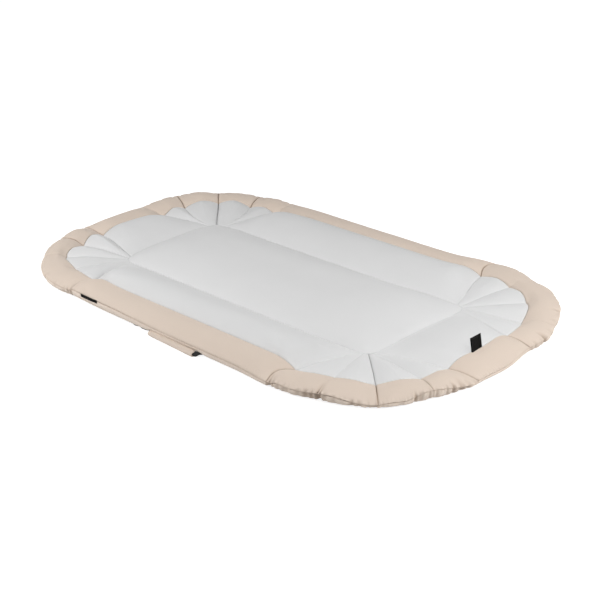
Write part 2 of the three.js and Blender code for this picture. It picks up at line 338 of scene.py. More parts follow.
@dataclass(frozen=True)
class CornerSewing:
    """How one corner's fan is sewn and lies, seam by seam from the long side's seam to the short end's.

    A place is a pair: its shift towards the far foot corner, and its rise. The lines say how deep the
    stitches are and how much painted shade they get at each seam, the pinch how drawn in the cover is, the
    puff how full each lobe is.
    """

    crease: Pair
    boundary: tuple[Pair, ...]
    edge: tuple[Pair, ...]
    bow: Pair
    lining_line: Values
    rim_line: Values
    rim_pinch: Values
    puff: Values
    edge_out: Values = (0.0, 0.0, 0.0, 0.0, 0.0)
    scallop: float = 0.005
    arc: Values = (0.0, 0.25, 0.5, 0.75, 1.0)
    swell: float = 1.0
    sway: float = 0.003
    slack: float = 0.5
    # The hem's folds: column, then width, depth and reach over the rim in millimetres
    folds: tuple[Values, ...] = ()
    diagonal: Pair = (0.7356, 0.6774)
    outward: Pair = (0.7071, -0.7071)
    boundary_power: float = 1.5
    bow_reach: float = 0.45

    @staticmethod
    def along_seams(values: Array, column: Array) -> Array:
        """Ease between the values of neighbouring seams.

        Args:
            values: One value or row of values for each seam.
            column: Columns of a fan.

        Returns:
            The values at those columns.
        """
        low = np.clip(np.floor(column), 0, len(values) - 2).astype(int)
        share = smooth_step(column - low)
        if values.ndim > 1:
            share = share[..., None]
        return lerp(values[low], values[low + 1], share)

    def shift(self, pairs: Array) -> Array:
        """Turn pairs of shift and rise into X, Y and Z."""
        return np.concatenate([pairs[..., :1] * np.array(self.diagonal), pairs[..., 1:]], axis=-1)

    def at(self, column: Array, row: Array) -> Array:
        """Read the shift of the sewn seams, apart from the crease's.

        Args:
            column: 0 on the long side's seam to 4 on the short end's.
            row: 0 at the crease to 2 at the outer edge.

        Returns:
            Shifts in X, Y and Z.
        """
        boundary = self.along_seams(np.array(self.boundary), column)
        edge = self.along_seams(np.array(self.edge), column)
        inner = (np.clip(row, 0, 1) ** self.boundary_power)[..., None]
        outer = np.clip(row - 1, 0, 1)[..., None]
        shift = self.shift(lerp(boundary * inner, edge, outer))
        away = self.along_seams(np.array(self.edge_out), column) * outer[..., 0]
        shift[..., 0] += away * self.outward[0]
        shift[..., 1] += away * self.outward[1]
        arch = np.sin(math.pi * np.clip(row - 1, 0, 1)) * bell(column, self.bow_reach)
        shift[..., 0] += self.bow[0] * arch
        shift[..., 2] += self.bow[1] * arch
        return shift


CORNERS = {
    (LongSide.NEAR, ShortEnd.HEAD): CornerSewing(
        crease=(-0.008, -0.002),
        boundary=((0.005, 0.004), (0.002, 0.004), (-0.009, -0.002), (0.006, -0.006), (0.001, -0.007)),
        edge=((0.005, -0.002), (-0.005, 0.0), (0.002, 0.0), (0.010, 0.004), (0.001, -0.002)),
        scallop=0.002,
        bow=(-0.010, 0.002),
        lining_line=(0.1, 0.3, 0.5, 0.6, 0.9),
        rim_line=(0.7, 0.0, 0.0, 1.3, 1.5),
        rim_pinch=(0.9, 0.15, 0.1, 0.6, 1.2),
        puff=(0.7, 0.7, 0.85, 1.25),
        sway=0.002,
        folds=(
            (0.05, 2, 4, 18), (0.13, 2.2, 3, 14), (0.24, 2.6, 2, 10), (0.50, 3, 1, 8),
            (0.96, 2.4, 2, 16), (1.30, 3.5, 1, 10), (1.98, 2.6, 1.5, 12), (2.50, 4, 1.2, 10),
            (2.92, 2, 2, 16), (3.10, 2.4, 1.6, 12), (3.90, 2.2, 2.4, 16),
        ),
    ),
    (LongSide.FAR, ShortEnd.HEAD): CornerSewing(
        crease=(-0.004, 0.003),
        boundary=((-0.003, -0.008), (0.0, -0.002), (0.0, 0.003), (-0.005, -0.003), (0.009, -0.009)),
        edge=((-0.004, 0.003), (0.0, 0.003), (-0.002, 0.006), (-0.005, 0.007), (-0.001, 0.0)),
        bow=(0.0, 0.0),
        lining_line=(0.3, 0.3, 1.7, 0.3, 0.3),
        rim_line=(0.3, 1.4, 1.7, 1.6, 0.6),
        rim_pinch=(0.4, 0.8, 0.7, 0.8, 0.9),
        puff=(1.0, 1.2, 1.2, 1.0),
        arc=(0.0, 0.04, 0.5, 0.96, 1.0),
        swell=0.8,
        sway=0.002,
        folds=(
            (0.12, 4, 2, 20), (0.35, 5, 2, 20), (0.62, 4, 1.6, 18), (0.88, 3, 2.4, 22),
            (1.10, 3, 2, 20), (1.34, 5, 2, 20), (1.60, 4, 1.8, 20), (1.86, 3, 2, 20),
            (2.14, 3.5, 2.2, 20), (2.42, 5, 2, 22), (2.70, 4, 2.2, 20), (2.92, 2.4, 2, 22),
            (3.12, 3, 2.2, 20), (3.45, 5, 1.6, 16), (3.80, 4, 1.6, 16),
        ),
    ),
    (LongSide.FAR, ShortEnd.FOOT): CornerSewing(
        crease=(0.019, 0.002),
        boundary=((0.011, 0.003), (0.012, 0.006), (0.013, 0.006), (0.001, -0.002), (0.001, 0.002)),
        edge=((0.006, 0.011), (0.006, 0.010), (0.014, 0.012), (0.006, 0.002), (-0.004, -0.004)),
        bow=(-0.010, 0.0),
        lining_line=(0.5, 0.4, 0.4, 0.3, 0.2),
        rim_line=(1.3, 0.1, 0.0, 0.3, 1.4),
        rim_pinch=(0.8, 0.15, 0.1, 0.3, 1.0),
        puff=(0.75, 0.7, 0.7, 0.7),
        swell=0.7,
        sway=0.002,
        slack=0.4,
        folds=(
            (0.60, 5, 1, 16), (1.20, 5, 1, 16), (1.80, 4, 1, 14), (2.22, 3, 1.2, 14),
            (2.50, 3, 4.6, 24), (2.64, 2, 2, 12), (2.86, 2.4, 2.4, 16), (3.05, 2.2, 2.6, 18),
            (3.30, 2.6, 2.2, 14), (3.54, 3.6, 7, 28), (3.66, 2.2, 2.4, 14), (3.82, 2.4, 3, 16),
            (3.94, 2, 2.6, 16),
        ),
    ),
    (LongSide.NEAR, ShortEnd.FOOT): CornerSewing(
        crease=(0.0, -0.003),
        boundary=((0.004, -0.003), (0.004, 0.005), (-0.003, -0.002), (0.001, 0.001), (-0.007, -0.002)),
        edge=((-0.008, -0.004), (-0.005, 0.002), (-0.003, -0.007), (-0.003, 0.005), (0.001, -0.006)),
        scallop=0.0,
        bow=(-0.011, 0.003),
        lining_line=(0.3, 0.4, 1.1, 0.45, 0.3),
        rim_line=(1.1, 0.2, 1.3, 0.9, 1.1),
        rim_pinch=(1.0, 0.35, 0.9, 0.9, 1.0),
        puff=(0.5, 0.65, 0.95, 1.0),
        edge_out=(0.0, 0.001, 0.005, -0.003, 0.0),
        swell=0.85,
        sway=0.0045,
        folds=(
            (0.05, 2.4, 5, 30), (0.13, 2, 3, 20), (0.24, 2.4, 2, 12), (0.36, 3, 1.4, 10),
            (0.43, 3, 1.6, 8), (0.62, 3.6, 2.4, 6), (0.76, 4, 4.4, 8), (0.87, 3, 4.6, 9),
            (0.965, 2, 6.6, 36), (1.02, 1.6, 5, 26), (1.10, 2.6, 2.6, 12), (1.26, 3, 1.4, 6),
            (1.56, 3.6, 3.6, 8), (1.68, 3, 3.6, 8), (1.83, 2, 2, 16), (1.90, 1.8, 2.6, 20),
            (1.96, 1.6, 2.6, 24), (2.08, 2, 1.6, 10), (2.40, 4, 1.2, 6), (2.66, 2.4, 4.6, 14),
            (2.75, 3, 2.6, 8), (2.93, 1.8, 2.6, 16), (3.07, 2, 2.6, 16), (3.28, 2.2, 2.4, 14),
            (3.42, 3, 5, 20), (3.60, 6, 4.6, 24), (3.76, 4, 3.6, 18), (3.90, 2, 2.2, 12),
        ),
    ),
}


@dataclass(frozen=True)
class PanelSewing:
    """How a straight panel's seams lie off their regular places away from its ends, and how it swells."""

    crease_out: float = 0.0
    boundary_out: float = 0.0
    boundary_rise: float = 0.0
    edge_out: float = 0.0
    edge_rise: float = 0.0
    head_rise: float = 0.0
    swell: float = 1.0
    power: float = 3.5


PANELS = {
    LongSide.NEAR: PanelSewing(crease_out=0.012, edge_out=0.001, edge_rise=-0.001, head_rise=0.0055,
                               swell=1.1, power=5),
    LongSide.FAR: PanelSewing(crease_out=0.003, boundary_rise=-0.001, edge_rise=0.003),
    ShortEnd.HEAD: PanelSewing(crease_out=0.010, boundary_rise=-0.0063, swell=0.75),
    ShortEnd.FOOT: PanelSewing(crease_out=0.006, boundary_out=0.003, boundary_rise=-0.0042,
                               edge_out=0.008, edge_rise=-0.006, swell=0.62, power=3),
}


def crease_shift(plan: MatPlan, x: Array, y: Array) -> Array:
    """How far the mattress's sewn crease lies off its regular place.

    Args:
        plan: The mat's seams in plan.
        x: Places along the mat.
        y: Places across the mat.

    Returns:
        Shifts in X, Y and Z.
    """
    half_length, half_width = plan.mattress_half_length, plan.mattress_half_width
    total = np.zeros((*np.broadcast(x, y).shape, 3))
    for (side, end), corner in CORNERS.items():
        away = np.hypot(x - end.value * half_length, y - side.value * half_width)
        total += corner.shift(np.array(corner.crease)) * bell(away, CREASE_REACH)[..., None]
    shares = (x / half_length, y / half_width)
    for side, sewing in PANELS.items():
        axis = 1 if isinstance(side, LongSide) else 0
        out = np.clip(side.value * shares[axis], 0, 1) ** 2
        bowed = np.clip(1 - shares[1 - axis] ** 4, 0, 1)
        total[..., axis] += side.value * sewing.crease_out * out * bowed
    return total


def quads(a: Array, b: Array, c: Array, d: Array) -> Array:
    """Join four grids of corners into faces."""
    return np.stack([a, b, c, d], axis=-1).reshape(-1, 4)


def grid_normals(points: Array) -> Array:
    """Unit normals of a grid of points.

    Args:
        points: The grid, its last axis X, Y and Z.

    Returns:
        One normal for each point, pointing up on the whole.
    """
    along = np.gradient(points, axis=0)
    across = np.gradient(points, axis=1)
    normals = np.cross(along, across)
    normals /= np.maximum(np.linalg.norm(normals, axis=-1, keepdims=True), 1e-12)
    return normals if normals[..., 2].sum() > 0 else -normals


@dataclass
class Layer:
    """One face of a padded body: its points and its cloth coordinates.

    A face that shows also has the cloth coordinates of the panel that follows each seam, and says how
    much painted shade darkens it at its seams, folds and turned hem, and how puckered it is.
    """

    points: Array
    cloth: Array
    cloth_next: Array | None = None
    fold: Array | float = 0.0
    pucker: Array | float = 0.0


def cubic_weights(known: Array, wanted: Array) -> Array:
    """Weights that read a smooth curve through known places at wanted places.

    Args:
        known: Rising places with known values.
        wanted: Places to read, those outside taken as the nearest end.

    Returns:
        One row of weights for each wanted place.
    """
    last = len(known) - 1
    wanted = np.clip(wanted, known[0], known[-1])
    low = np.clip(np.searchsorted(known, wanted, side="right") - 1, 0, last - 1)
    span = known[low + 1] - known[low]
    t = (wanted - known[low]) / span
    slopes = np.zeros((last + 1, last + 1))
    for i in range(last + 1):
        before, after = max(i - 1, 0), min(i + 1, last)
        slopes[i, after] += 1 / (known[after] - known[before])
        slopes[i, before] -= 1 / (known[after] - known[before])
    weights = np.zeros((len(wanted), last + 1))
    line = np.arange(len(wanted))
    weights[line, low] += 1 - t * t * (3 - 2 * t)
    weights[line, low + 1] += t * t * (3 - 2 * t)
    weights += (span * t * (1 - t) ** 2)[:, None] * slopes[low]
    weights -= (span * t * t * (1 - t))[:, None] * slopes[low + 1]
    return weights


def resample(grid: Array, known: tuple[Array, Array], wanted: tuple[Array, Array]) -> Array:
    """Read a grid of X, Y and Z at other columns and rows.

    Args:
        grid: The grid.
        known: Its columns and rows.
        wanted: The columns and rows to read.

    Returns:
        The finer grid.
    """
    weights = [cubic_weights(*pair) for pair in zip(known, wanted)]
    return np.einsum("ic,crk,jr->ijk", weights[0], grid, weights[1])


@dataclass(frozen=True)
class Filling:
    """How a sewn cover is blown up by Blender's cloth, with its seams held."""

    spacing: float = 0.0062
    pressure: float = 4.0
    frames: int = 20
    quality: int = 6
    most: float = 0.005
    hem_slack: float = 0.10

    def lines(self, length: float) -> Array:
        """Even grid lines from 0 to 1 over a length."""
        return np.linspace(0, 1, max(4, round(length / self.spacing)) + 1)

    def swell(self, name: str, points: Array, sewn: Array, loose: Array) -> Array:
        """Blow up a grid of cloth and see how far it moves.

        Args:
            name: The cover's name.
            points: The grid's points, its normals up.
            sewn: Which points are held.
            loose: How much of the hem's slack the cloth has, from 0 to 1.

        Returns:
            How far each point moves.
        """
        index = np.arange(sewn.size).reshape(sewn.shape)
        faces = quads(index[:-1, :-1], index[1:, :-1], index[1:, 1:], index[:-1, 1:])
        a, b, d = (points.reshape(-1, 3)[faces[:, k]] for k in (0, 1, 3))
        if np.cross(b - a, d - a)[:, 2].sum() < 0:
            faces = faces[:, ::-1]
        mesh = bpy.data.meshes.new(f"{name}_filling")
        mesh.from_pydata(points.reshape(-1, 3).tolist(), [], faces.tolist())
        mesh.update()
        sheet = bpy.data.objects.new(mesh.name, mesh)
        scene = bpy.context.scene
        scene.collection.objects.link(sheet)
        held = sheet.vertex_groups.new(name="sewn")
        held.add(index[sewn].tolist(), 1.0, "REPLACE")
        slack = sheet.vertex_groups.new(name="slack")
        for vertex, weight in enumerate(loose.ravel().tolist()):
            slack.add([vertex], weight, "REPLACE")
        cloth = sheet.modifiers.new("filling", "CLOTH")
        settings = cloth.settings
        settings.quality = self.quality
        settings.effector_weights.gravity = 0
        settings.use_pressure = True
        settings.uniform_pressure_force = self.pressure
        settings.vertex_group_mass = held.name
        settings.vertex_group_shrink = slack.name
        settings.shrink_max = -self.hem_slack
        cloth.collision_settings.use_collision = False
        for number in range(1, self.frames + 1):
            scene.frame_set(number)
        settled = sheet.evaluated_get(bpy.context.evaluated_depsgraph_get()).data
        found = np.empty(points.size)
        settled.vertices.foreach_get("co", found)
        bpy.data.objects.remove(sheet)
        bpy.data.meshes.remove(mesh)
        scene.frame_set(1)
        move = found.reshape(points.shape) - points
        size = np.linalg.norm(move, axis=-1, keepdims=True)
        LOG.info("%s: cloth moved %.1f mm on average, %.1f mm at most",
                 name, size.mean() / MILLIMETRE, size.max() / MILLIMETRE)
        return move * np.tanh(size / self.most) * self.most / np.maximum(size, 1e-9)


FILLING = Filling()


def build_body(name: str, upper: Layer, lower: Layer) -> bpy.types.Object:
    """Close a body between two grids that share their columns.

    Args:
        name: The new object's name.
        upper: The face that shows.
        lower: The face on the body's other side.

    Returns:
        The new object, its faces pointing outwards.
    """
    top = np.arange(upper.points[..., 0].size).reshape(upper.points.shape[:2])
    bottom = top.size + np.arange(lower.points[..., 0].size).reshape(lower.points.shape[:2])
    points = np.concatenate([upper.points.reshape(-1, 3), lower.points.reshape(-1, 3)])
    before = np.concatenate([upper.cloth.reshape(-1, 2), lower.cloth.reshape(-1, 2)])
    after = before.copy()
    if upper.cloth_next is not None:
        after[: top.size] = upper.cloth_next.reshape(-1, 2)
    faces = np.concatenate([
        quads(top[:-1, :-1], top[1:, :-1], top[1:, 1:], top[:-1, 1:]),
        quads(bottom[:-1, :-1], bottom[:-1, 1:], bottom[1:, 1:], bottom[1:, :-1]),
        quads(top[1:, 0], top[:-1, 0], bottom[:-1, 0], bottom[1:, 0]),
        quads(top[:-1, -1], top[1:, -1], bottom[1:, -1], bottom[:-1, -1]),
    ])
    caps = [np.array([*top[0], *bottom[0][::-1]]), np.array([*top[-1][::-1], *bottom[-1]])]
    first_is_next = np.array([True, False, False, True])
    cloth = np.where(first_is_next[None, :, None], after[faces], before[faces])
    values = {}
    # The first value is the painted shade of the seams, folds and turned hem, the second the pucker's depth
    for word in ("fold", "pucker"):
        values[word] = np.zeros(len(points))
        values[word][: top.size] = np.ravel(getattr(upper, word))
    return close_body(name, points, faces, caps, cloth, [before[cap] for cap in caps], values)


def build_sleeve(name: str, rings: Array, cloth: Array, fold: Array) -> bpy.types.Object:
    """Close a body along a row of rings.

    Args:
        name: The new object's name.
        rings: Points by ring and by place round it.
        cloth: Cloth coordinates, with one more place round each ring than it has points.
        fold: How much painted shade darkens the cloth at each point.

    Returns:
        The new object, its faces pointing outwards.
    """
    count, around = rings.shape[:2]
    index = np.arange(count * around).reshape(count, around)
    wrapped = np.concatenate([index, index[:, :1]], axis=1)
    starts = ((0, 0), (1, 0), (1, 1), (0, 1))
    faces = quads(*[wrapped[i:count - 1 + i, j:around + j] for i, j in starts])
    corners = np.stack([cloth[i:count - 1 + i, j:around + j] for i, j in starts], axis=2).reshape(-1, 4, 2)
    caps = [index[0], index[-1][::-1]]
    cap_cloth = [np.repeat([cloth[end, 0]], around, axis=0) for end in (0, -1)]
    return close_body(name, rings.reshape(-1, 3), faces, caps, corners, cap_cloth, {"fold": fold})


def close_body(name: str, points: Array, faces: Array, caps: list[Array], cloth: Array,
               cap_cloth: list[Array], values: dict[str, Array]) -> bpy.types.Object:
    """Make a smooth closed body of quads and two end caps, its faces pointing outwards.

    Args:
        name: The new object's name.
        points: Its points.
        faces: The points of each quad.
        caps: The points of each cap.
        cloth: The cloth coordinates of each quad's corners.
        cap_cloth: The cloth coordinates of each cap's corners.
        values: What its attributes say at each point, by their names.

    Returns:
        The new object, at the origin.
    """
    middle = points.mean(axis=0)
    a, b, c, d = (points[faces[:, k]] for k in range(4))
    volume = np.einsum("ij,ij->i", a - middle, np.cross(b - a, c - a) + np.cross(c - a, d - a)).sum()
    if volume < 0:
        faces, cloth = faces[:, ::-1], cloth[:, ::-1]
        caps, cap_cloth = ([part[::-1] for part in parts] for parts in (caps, cap_cloth))
    mesh = bpy.data.meshes.new(name)
    mesh.from_pydata(points.tolist(), [], faces.tolist() + [cap.tolist() for cap in caps])
    flat = np.concatenate([cloth.reshape(-1, 2), *cap_cloth]).astype(np.float32)
    mesh.uv_layers.new(name="cloth").data.foreach_set("uv", flat.ravel())
    for word, value in values.items():
        attribute = mesh.attributes.new(word, "FLOAT", "POINT")
        attribute.data.foreach_set("value", value.astype(np.float32).ravel())
    mesh.polygons.foreach_set("use_smooth", [True] * len(mesh.polygons))
    mesh.set_sharp_from_angle(angle=SHARP_ANGLE)
    mesh.update()
    piece = bpy.data.objects.new(mesh.name, mesh)
    bpy.context.scene.collection.objects.link(piece)
    return piece


def dress(piece: bpy.types.Object, finish: "Finish", *nodes: str, fill: float | None = None) -> None:
    """Give a piece its finish and hide the frame's nodes that it stands for.

    Args:
        piece: The piece.
        finish: Its finish.
        nodes: The frame's nodes that it replaces.
        fill: How full it is padded, or none if it isn't; not used.
    """
    piece.data.materials.append(finish.material)
    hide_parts(*nodes)
    LOG.info("%s: %d faces", piece.name, len(piece.data.polygons))


def fold_up(piece: bpy.types.Object, side: LongSide) -> None:
    """Bake a piece's placement into its mesh."""
    side.body
    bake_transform(piece)


@dataclass(frozen=True)
class CoverDetail:
    """The small shapes and the painted shade of the covers, away from their regular sections."""

    # Unevenness: size and height of the lumps and of the ripples, and how far seams and the hem calm them
    lump_size: float = 0.055
    lump_height: float = 0.0011
    ripple_size: float = 0.019
    ripple_height: float = 0.00022
    seam_calm: float = 0.02
    rim_calm: float = 0.012
    # Where the rim's own sewing takes over from the lining's, in rows
    pinch_change: float = 0.4
    line_change: float = 0.06
    rim_ditch: float = 0.8
    crease_ditch: float = 0.3
    ditch_end: float = 0.004
    least_thickness: float = 0.0007
    # How much of a hem fold's depth lowers the cover, lowers the hem and draws the edge in
    gather_drop: float = 0.85
    gather_hem_drop: float = 0.3
    gather_draw: float = 0.9
    gather_draw_reach: float = 0.014
    # How much painted shade darkens the stitches, the rim's seam and a metre of fold depth
    line_width: float = 0.0010
    line_darkness: float = 0.9
    rim_darkness: float = 0.35
    gather_darkness: float = 130
    rim_pucker: float = 0.0055
    hem_pucker: float = 0.0075
    # The underside: how its radial seams lift it, its folds, and how much painted shade darkens both
    under_seam_rise: float = 0.0022
    under_seam_width: float = 0.004
    under_seam_hem_fade: float = 0.01
    under_seam_crease_fade: float = 0.05
    under_gather_rise: float = 0.4
    under_gather_hem_rise: float = 0.2
    under_gather_draw: float = 1.1
    under_line_width: float = 0.002
    under_line_darkness: float = 0.5
    under_gather_darkness: float = 240


@dataclass(kw_only=True)
class Pad:
    """A padded bolster of the mat: its lining, rim and underside.

    Its columns run along it. Its rows run out from the crease at 0, over the lining's seam with the rim
    at 1, to the outer edge at 2.
    """

    plan: MatPlan
    form: PadForm
    seed: int
    side: LongSide | ShortEnd
    detail: CoverDetail = CoverDetail()
    lining_step: float = 0.0036
    rim_step: float = 0.0026
    under_step: float = 0.0055
    column_step: float
    under_crease: float = 0.0006
    # The hem's last rows: how far in from the edge they lie, and how far they have turned under
    hem_insets: Values = (0.0006, 0.0013, 0.0024)
    hem_tucks: Values = (0.45, 0.75, 0.95)
    # Where the rim's stuffing has its last row, and how far in the one before it lies at least
    stuffing_inset: float = 0.0026
    stuffing_row_inset: float = 0.003
    # The nodes of what lies in the hem, and the columns along which the upper cover is sewn down
    hem_nodes: tuple[str, ...] = ()
    seams: Values = (-1.0, 1.0)
    # Sizes that each kind of pad takes from the plan
    lining_width: float = field(init=False)
    rim_width: float = field(init=False)
    hem_length: float = field(init=False)
    panel_width: float = field(init=False)
    seam_spacing: float = field(init=False)
    # How far the filling moves the upper cover, and the columns and rows where that is known
    filling: tuple[Array, tuple[Array, Array]] | None = None

    def __post_init__(self) -> None:
        """Draw the pad's unevenness."""
        self.lumps = SoftNoise(self.seed, self.detail.lump_size)
        self.ripples = SoftNoise(self.seed + 100, self.detail.ripple_size)

    # What each kind of pad has of its own

    @property
    def name(self) -> str:
        """How the pad's nodes begin."""
        raise NotImplementedError

    def place(self, column: Array, row: Array) -> Array:
        """Regular places in plan."""
        raise NotImplementedError

    def crest(self, row: Array) -> Array:
        """Height of the cover away from its radial seams."""
        raise NotImplementedError

    def share(self, column: Array) -> Array:
        """How far a column lies from the nearest radial seam, against the seams' spacing."""
        raise NotImplementedError

    def spacing_at(self, row: Array) -> Array:
        """The radial seams' spacing at each row: half a straight pad's length, or a lobe's width."""
        raise NotImplementedError

    def settle(self, column: Array, row: Array) -> Array:
        """Shifts of the sewn seams off their regular places, apart from the crease's."""
        raise NotImplementedError

    def seam_values(self, column: Array, table: str) -> Array:
        """A table of the corners' sewing, read for the nearest radial seam."""
        raise NotImplementedError

    def lateral(self, column: Array, row: Array, following: bool) -> Array:
        """Distance across the cloth's grain from the middle of its panel."""
        raise NotImplementedError

    def finish(self, piece: bpy.types.Object) -> None:
        """Attach a finished piece to its body, or bake it into place."""
        raise NotImplementedError

    def looseness(self, row: Array) -> Array:
        """How much of the hem's slack the cover has, from 0 to 1."""
        return np.zeros(row.shape)

    def puff(self, column: Array) -> Array:
        """How full the pad is, against its regular section."""
        return np.ones(column.shape)

    def gathers(self, column: Array, inset: Array, under: bool) -> Array:
        """Depths of the hem's folds."""
        return np.zeros(np.broadcast(column, inset).shape)

    def sway(self, column: Array) -> Array:
        """How far the hem seam rises and falls."""
        return np.zeros(column.shape)

    # Surfaces

    def across(self, panel: Array) -> Array:
        """Repeat grid lines from 0 to 1 in each panel between the seams."""
        panels = [low + (high - low) * panel[:-1] for low, high in zip(self.seams, self.seams[1:])]
        return np.concatenate([*panels, self.seams[-1:]])

    def columns(self) -> Array:
        """The grid's columns, closer together beside the seams."""
        return self.across(graded(self.panel_width, self.column_step) / self.panel_width)

    def shifts(self, column: Array, row: Array) -> Array:
        """All shifts off the regular places, in X, Y and Z."""
        crease = crease_shift(self.plan, *np.moveaxis(self.place(column, np.zeros(row.shape)), -1, 0))
        return self.settle(column, row) + crease * (1 - smooth_step(row))[..., None]

    def to_rim(self, row: Array) -> Array:
        """Distance from the lining's seam with the rim."""
        return np.where(row <= 1, (1 - row) * self.lining_width, (row - 1) * self.rim_width)

    def outward(self, column: Array, row: Array) -> Array:
        """Directions in plan from the crease to the edge.

        Args:
            column: The grid's columns.
            row: The grid's rows.

        Returns:
            Unit vectors in X and Y.
        """
        inside = np.clip(row, 0.02, 1.98)
        step = self.place(column, inside + 0.01) - self.place(column, inside - 0.01)
        return step / np.linalg.norm(step, axis=-1, keepdims=True)

    def upper(self, column: Array, row: Array, tuck: Array) -> tuple[Array, Array]:
        """The upper cover's points.

        Args:
            column: The grid's columns.
            row: The grid's rows.
            tuck: How far each point has turned under at the hem, from 0 to 1.

        Returns:
            The points, and how much painted shade darkens the cover at each.
        """
        form, detail = self.form, self.detail
        stitches = self.share(column) * self.spacing_at(row)
        to_rim = self.to_rim(row)
        to_crease = np.maximum(row, 0) * self.lining_width
        inset = (2 - row) * self.rim_width
        gather = self.gathers(column, np.maximum(inset, 0), False)

        into_rim = smooth_step((row - 1) / detail.pinch_change)
        pinch = lerp(np.ones(row.shape), self.seam_values(column, "rim_pinch"), into_rim)
        full = 1 - (1 - form.fullness(self.share(column) * self.seam_spacing)) * pinch
        height = lerp(form.fan_height(row, False), self.crest(row), full * self.puff(column))

        past_seam = smooth_step((row - 1) / detail.line_change + 0.5)
        line = lerp(self.seam_values(column, "lining_line"), self.seam_values(column, "rim_line"), past_seam)
        ditch = form.ditch(stitches) * line + form.ditch(to_rim) * detail.rim_ditch
        ditch = ditch + form.ditch(to_crease) * detail.crease_ditch

        plan = self.place(column, row)
        calm = smooth_step(stitches / detail.seam_calm) * smooth_step(to_rim / detail.rim_calm)
        calm = calm * smooth_step(to_crease / detail.seam_calm)
        uneven = detail.lump_height * self.lumps.at(plan[..., 0], plan[..., 1])
        uneven = (uneven + detail.ripple_height * self.ripples.at(plan[..., 0], plan[..., 1])) * calm

        height = height - ditch * smooth_step(inset / detail.ditch_end) - gather * detail.gather_drop
        height = height + uneven * smooth_step(inset / detail.seam_calm)
        floor = form.under_crease_height(to_crease) + form.cover + detail.least_thickness
        turned = form.hem + form.lip * (1 - tuck) - gather * detail.gather_hem_drop
        height = np.where(tuck > 0, turned, np.maximum(height, floor))
        height = height + self.sway(column) * np.clip(row - 1, 0, 1) ** 2

        inward = gather * detail.gather_draw * smooth_step(1 - inset / detail.gather_draw_reach)
        plan = plan - self.outward(column, row) * inward[..., None]
        points = np.concatenate([plan, height[..., None]], axis=-1) + self.shifts(column, row)
        # Painted shade: darker along the stitches and the rim's seam, in the hem's folds and where the hem
        # turns under
        fold = detail.line_darkness * bell(stitches, detail.line_width) * line**2
        fold = fold + detail.rim_darkness * bell(to_rim, detail.line_width)
        return points, np.clip(fold + detail.gather_darkness * gather + tuck**3, 0, 1)

    def belly(self, column: Array, inset: Array) -> Array:
        """Height of the underside near the hem.

        Args:
            column: The grid's columns.
            inset: Distances in from the outer edge.

        Returns:
            Heights above the floor.
        """
        form = self.form
        left = 1 - np.clip(inset / form.belly_width, 0, 1)
        return (form.hem - form.lip) * (1 - (1 - left**form.belly_power) ** (1 / form.belly_power))

    def under(self, column: Array, row: Array, tuck: Array) -> tuple[Array, Array]:
        """The underside's points, on its outer face.

        Args:
            column: The grid's columns.
            row: The grid's rows.
            tuck: How far each point has turned in at the hem, from 0 to 1.

        Returns:
            The points, and how much painted shade darkens the cover at each.
        """
        form, detail = self.form, self.detail
        inset = (2 - row) * self.rim_width
        from_crease = row * self.lining_width
        stitches = self.share(column) * self.spacing_at(row)
        seam = detail.under_seam_rise * bell(stitches, detail.under_seam_width)
        seam = seam * smooth_step(inset / detail.under_seam_hem_fade)
        seam = seam * smooth_step(from_crease / detail.under_seam_crease_fade)
        gather = self.gathers(column, np.maximum(inset, 0), True)
        height = self.belly(column, np.maximum(inset, 0)) + form.under_crease_height(from_crease)
        height = height + seam + gather * detail.under_gather_rise
        turned = form.hem - form.lip * (1 - tuck) + gather * detail.under_gather_hem_rise
        height = np.where(tuck > 0, turned, height)
        drawn = (gather * detail.under_gather_draw)[..., None]
        plan = self.place(column, row) - self.outward(column, row) * drawn
        settled = self.shifts(column, row)
        settled[..., 2] += self.sway(column) * np.clip(row - 1, 0, 1) ** 4
        settled[..., 2] *= np.clip(height / np.where(row < 0.5, form.crease_under, form.hem), 0, 1)
        points = np.concatenate([plan, height[..., None]], axis=-1) + settled
        points[..., 2] = np.maximum(points[..., 2], 0)
        # Painted shade: darker in the underside's folds, along its seams and where the hem turns in
        fold = detail.under_gather_darkness * gather
        fold = fold + detail.under_line_darkness * bell(stitches, detail.under_line_width) + tuck**3
        return points, np.clip(fold, 0, 1)

    def cloth(self, points: Array, column: Array, row: Array, following: bool) -> Array:
        """Cloth coordinates in metres: across the panel's grain, and out along the surface.

        Args:
            points: The surface.
            column: The grid's columns.
            row: The grid's rows.
            following: On a seam, whether the panel after it is meant.

        Returns:
            One pair for each point.
        """
        steps = np.linalg.norm(np.diff(points, axis=1), axis=-1)
        out = np.concatenate([np.zeros((points.shape[0], 1)), np.cumsum(steps, axis=1)], axis=1)
        across = self.lateral(column, row, following)
        return np.stack([across, out + row[:, :1] * self.lining_width], axis=-1)

    def fill(self) -> None:
        """Blow up the upper cover between its seams and keep how far it moves."""
        columns = self.across(FILLING.lines(self.hem_length / (len(self.seams) - 1)))
        inner, outer = FILLING.lines(self.lining_width), FILLING.lines(self.rim_width)
        rows = np.concatenate([inner[:-1], 1 + outer])
        column, row = np.meshgrid(columns, rows, indexing="ij")
        points, _ = self.upper(column, row, np.zeros(row.shape))
        sewn = np.isin(column, self.seams) | np.isin(row, (0.0, 1.0, 2.0))
        self.filling = FILLING.swell(self.name, points, sewn, self.looseness(row)), (columns, rows)

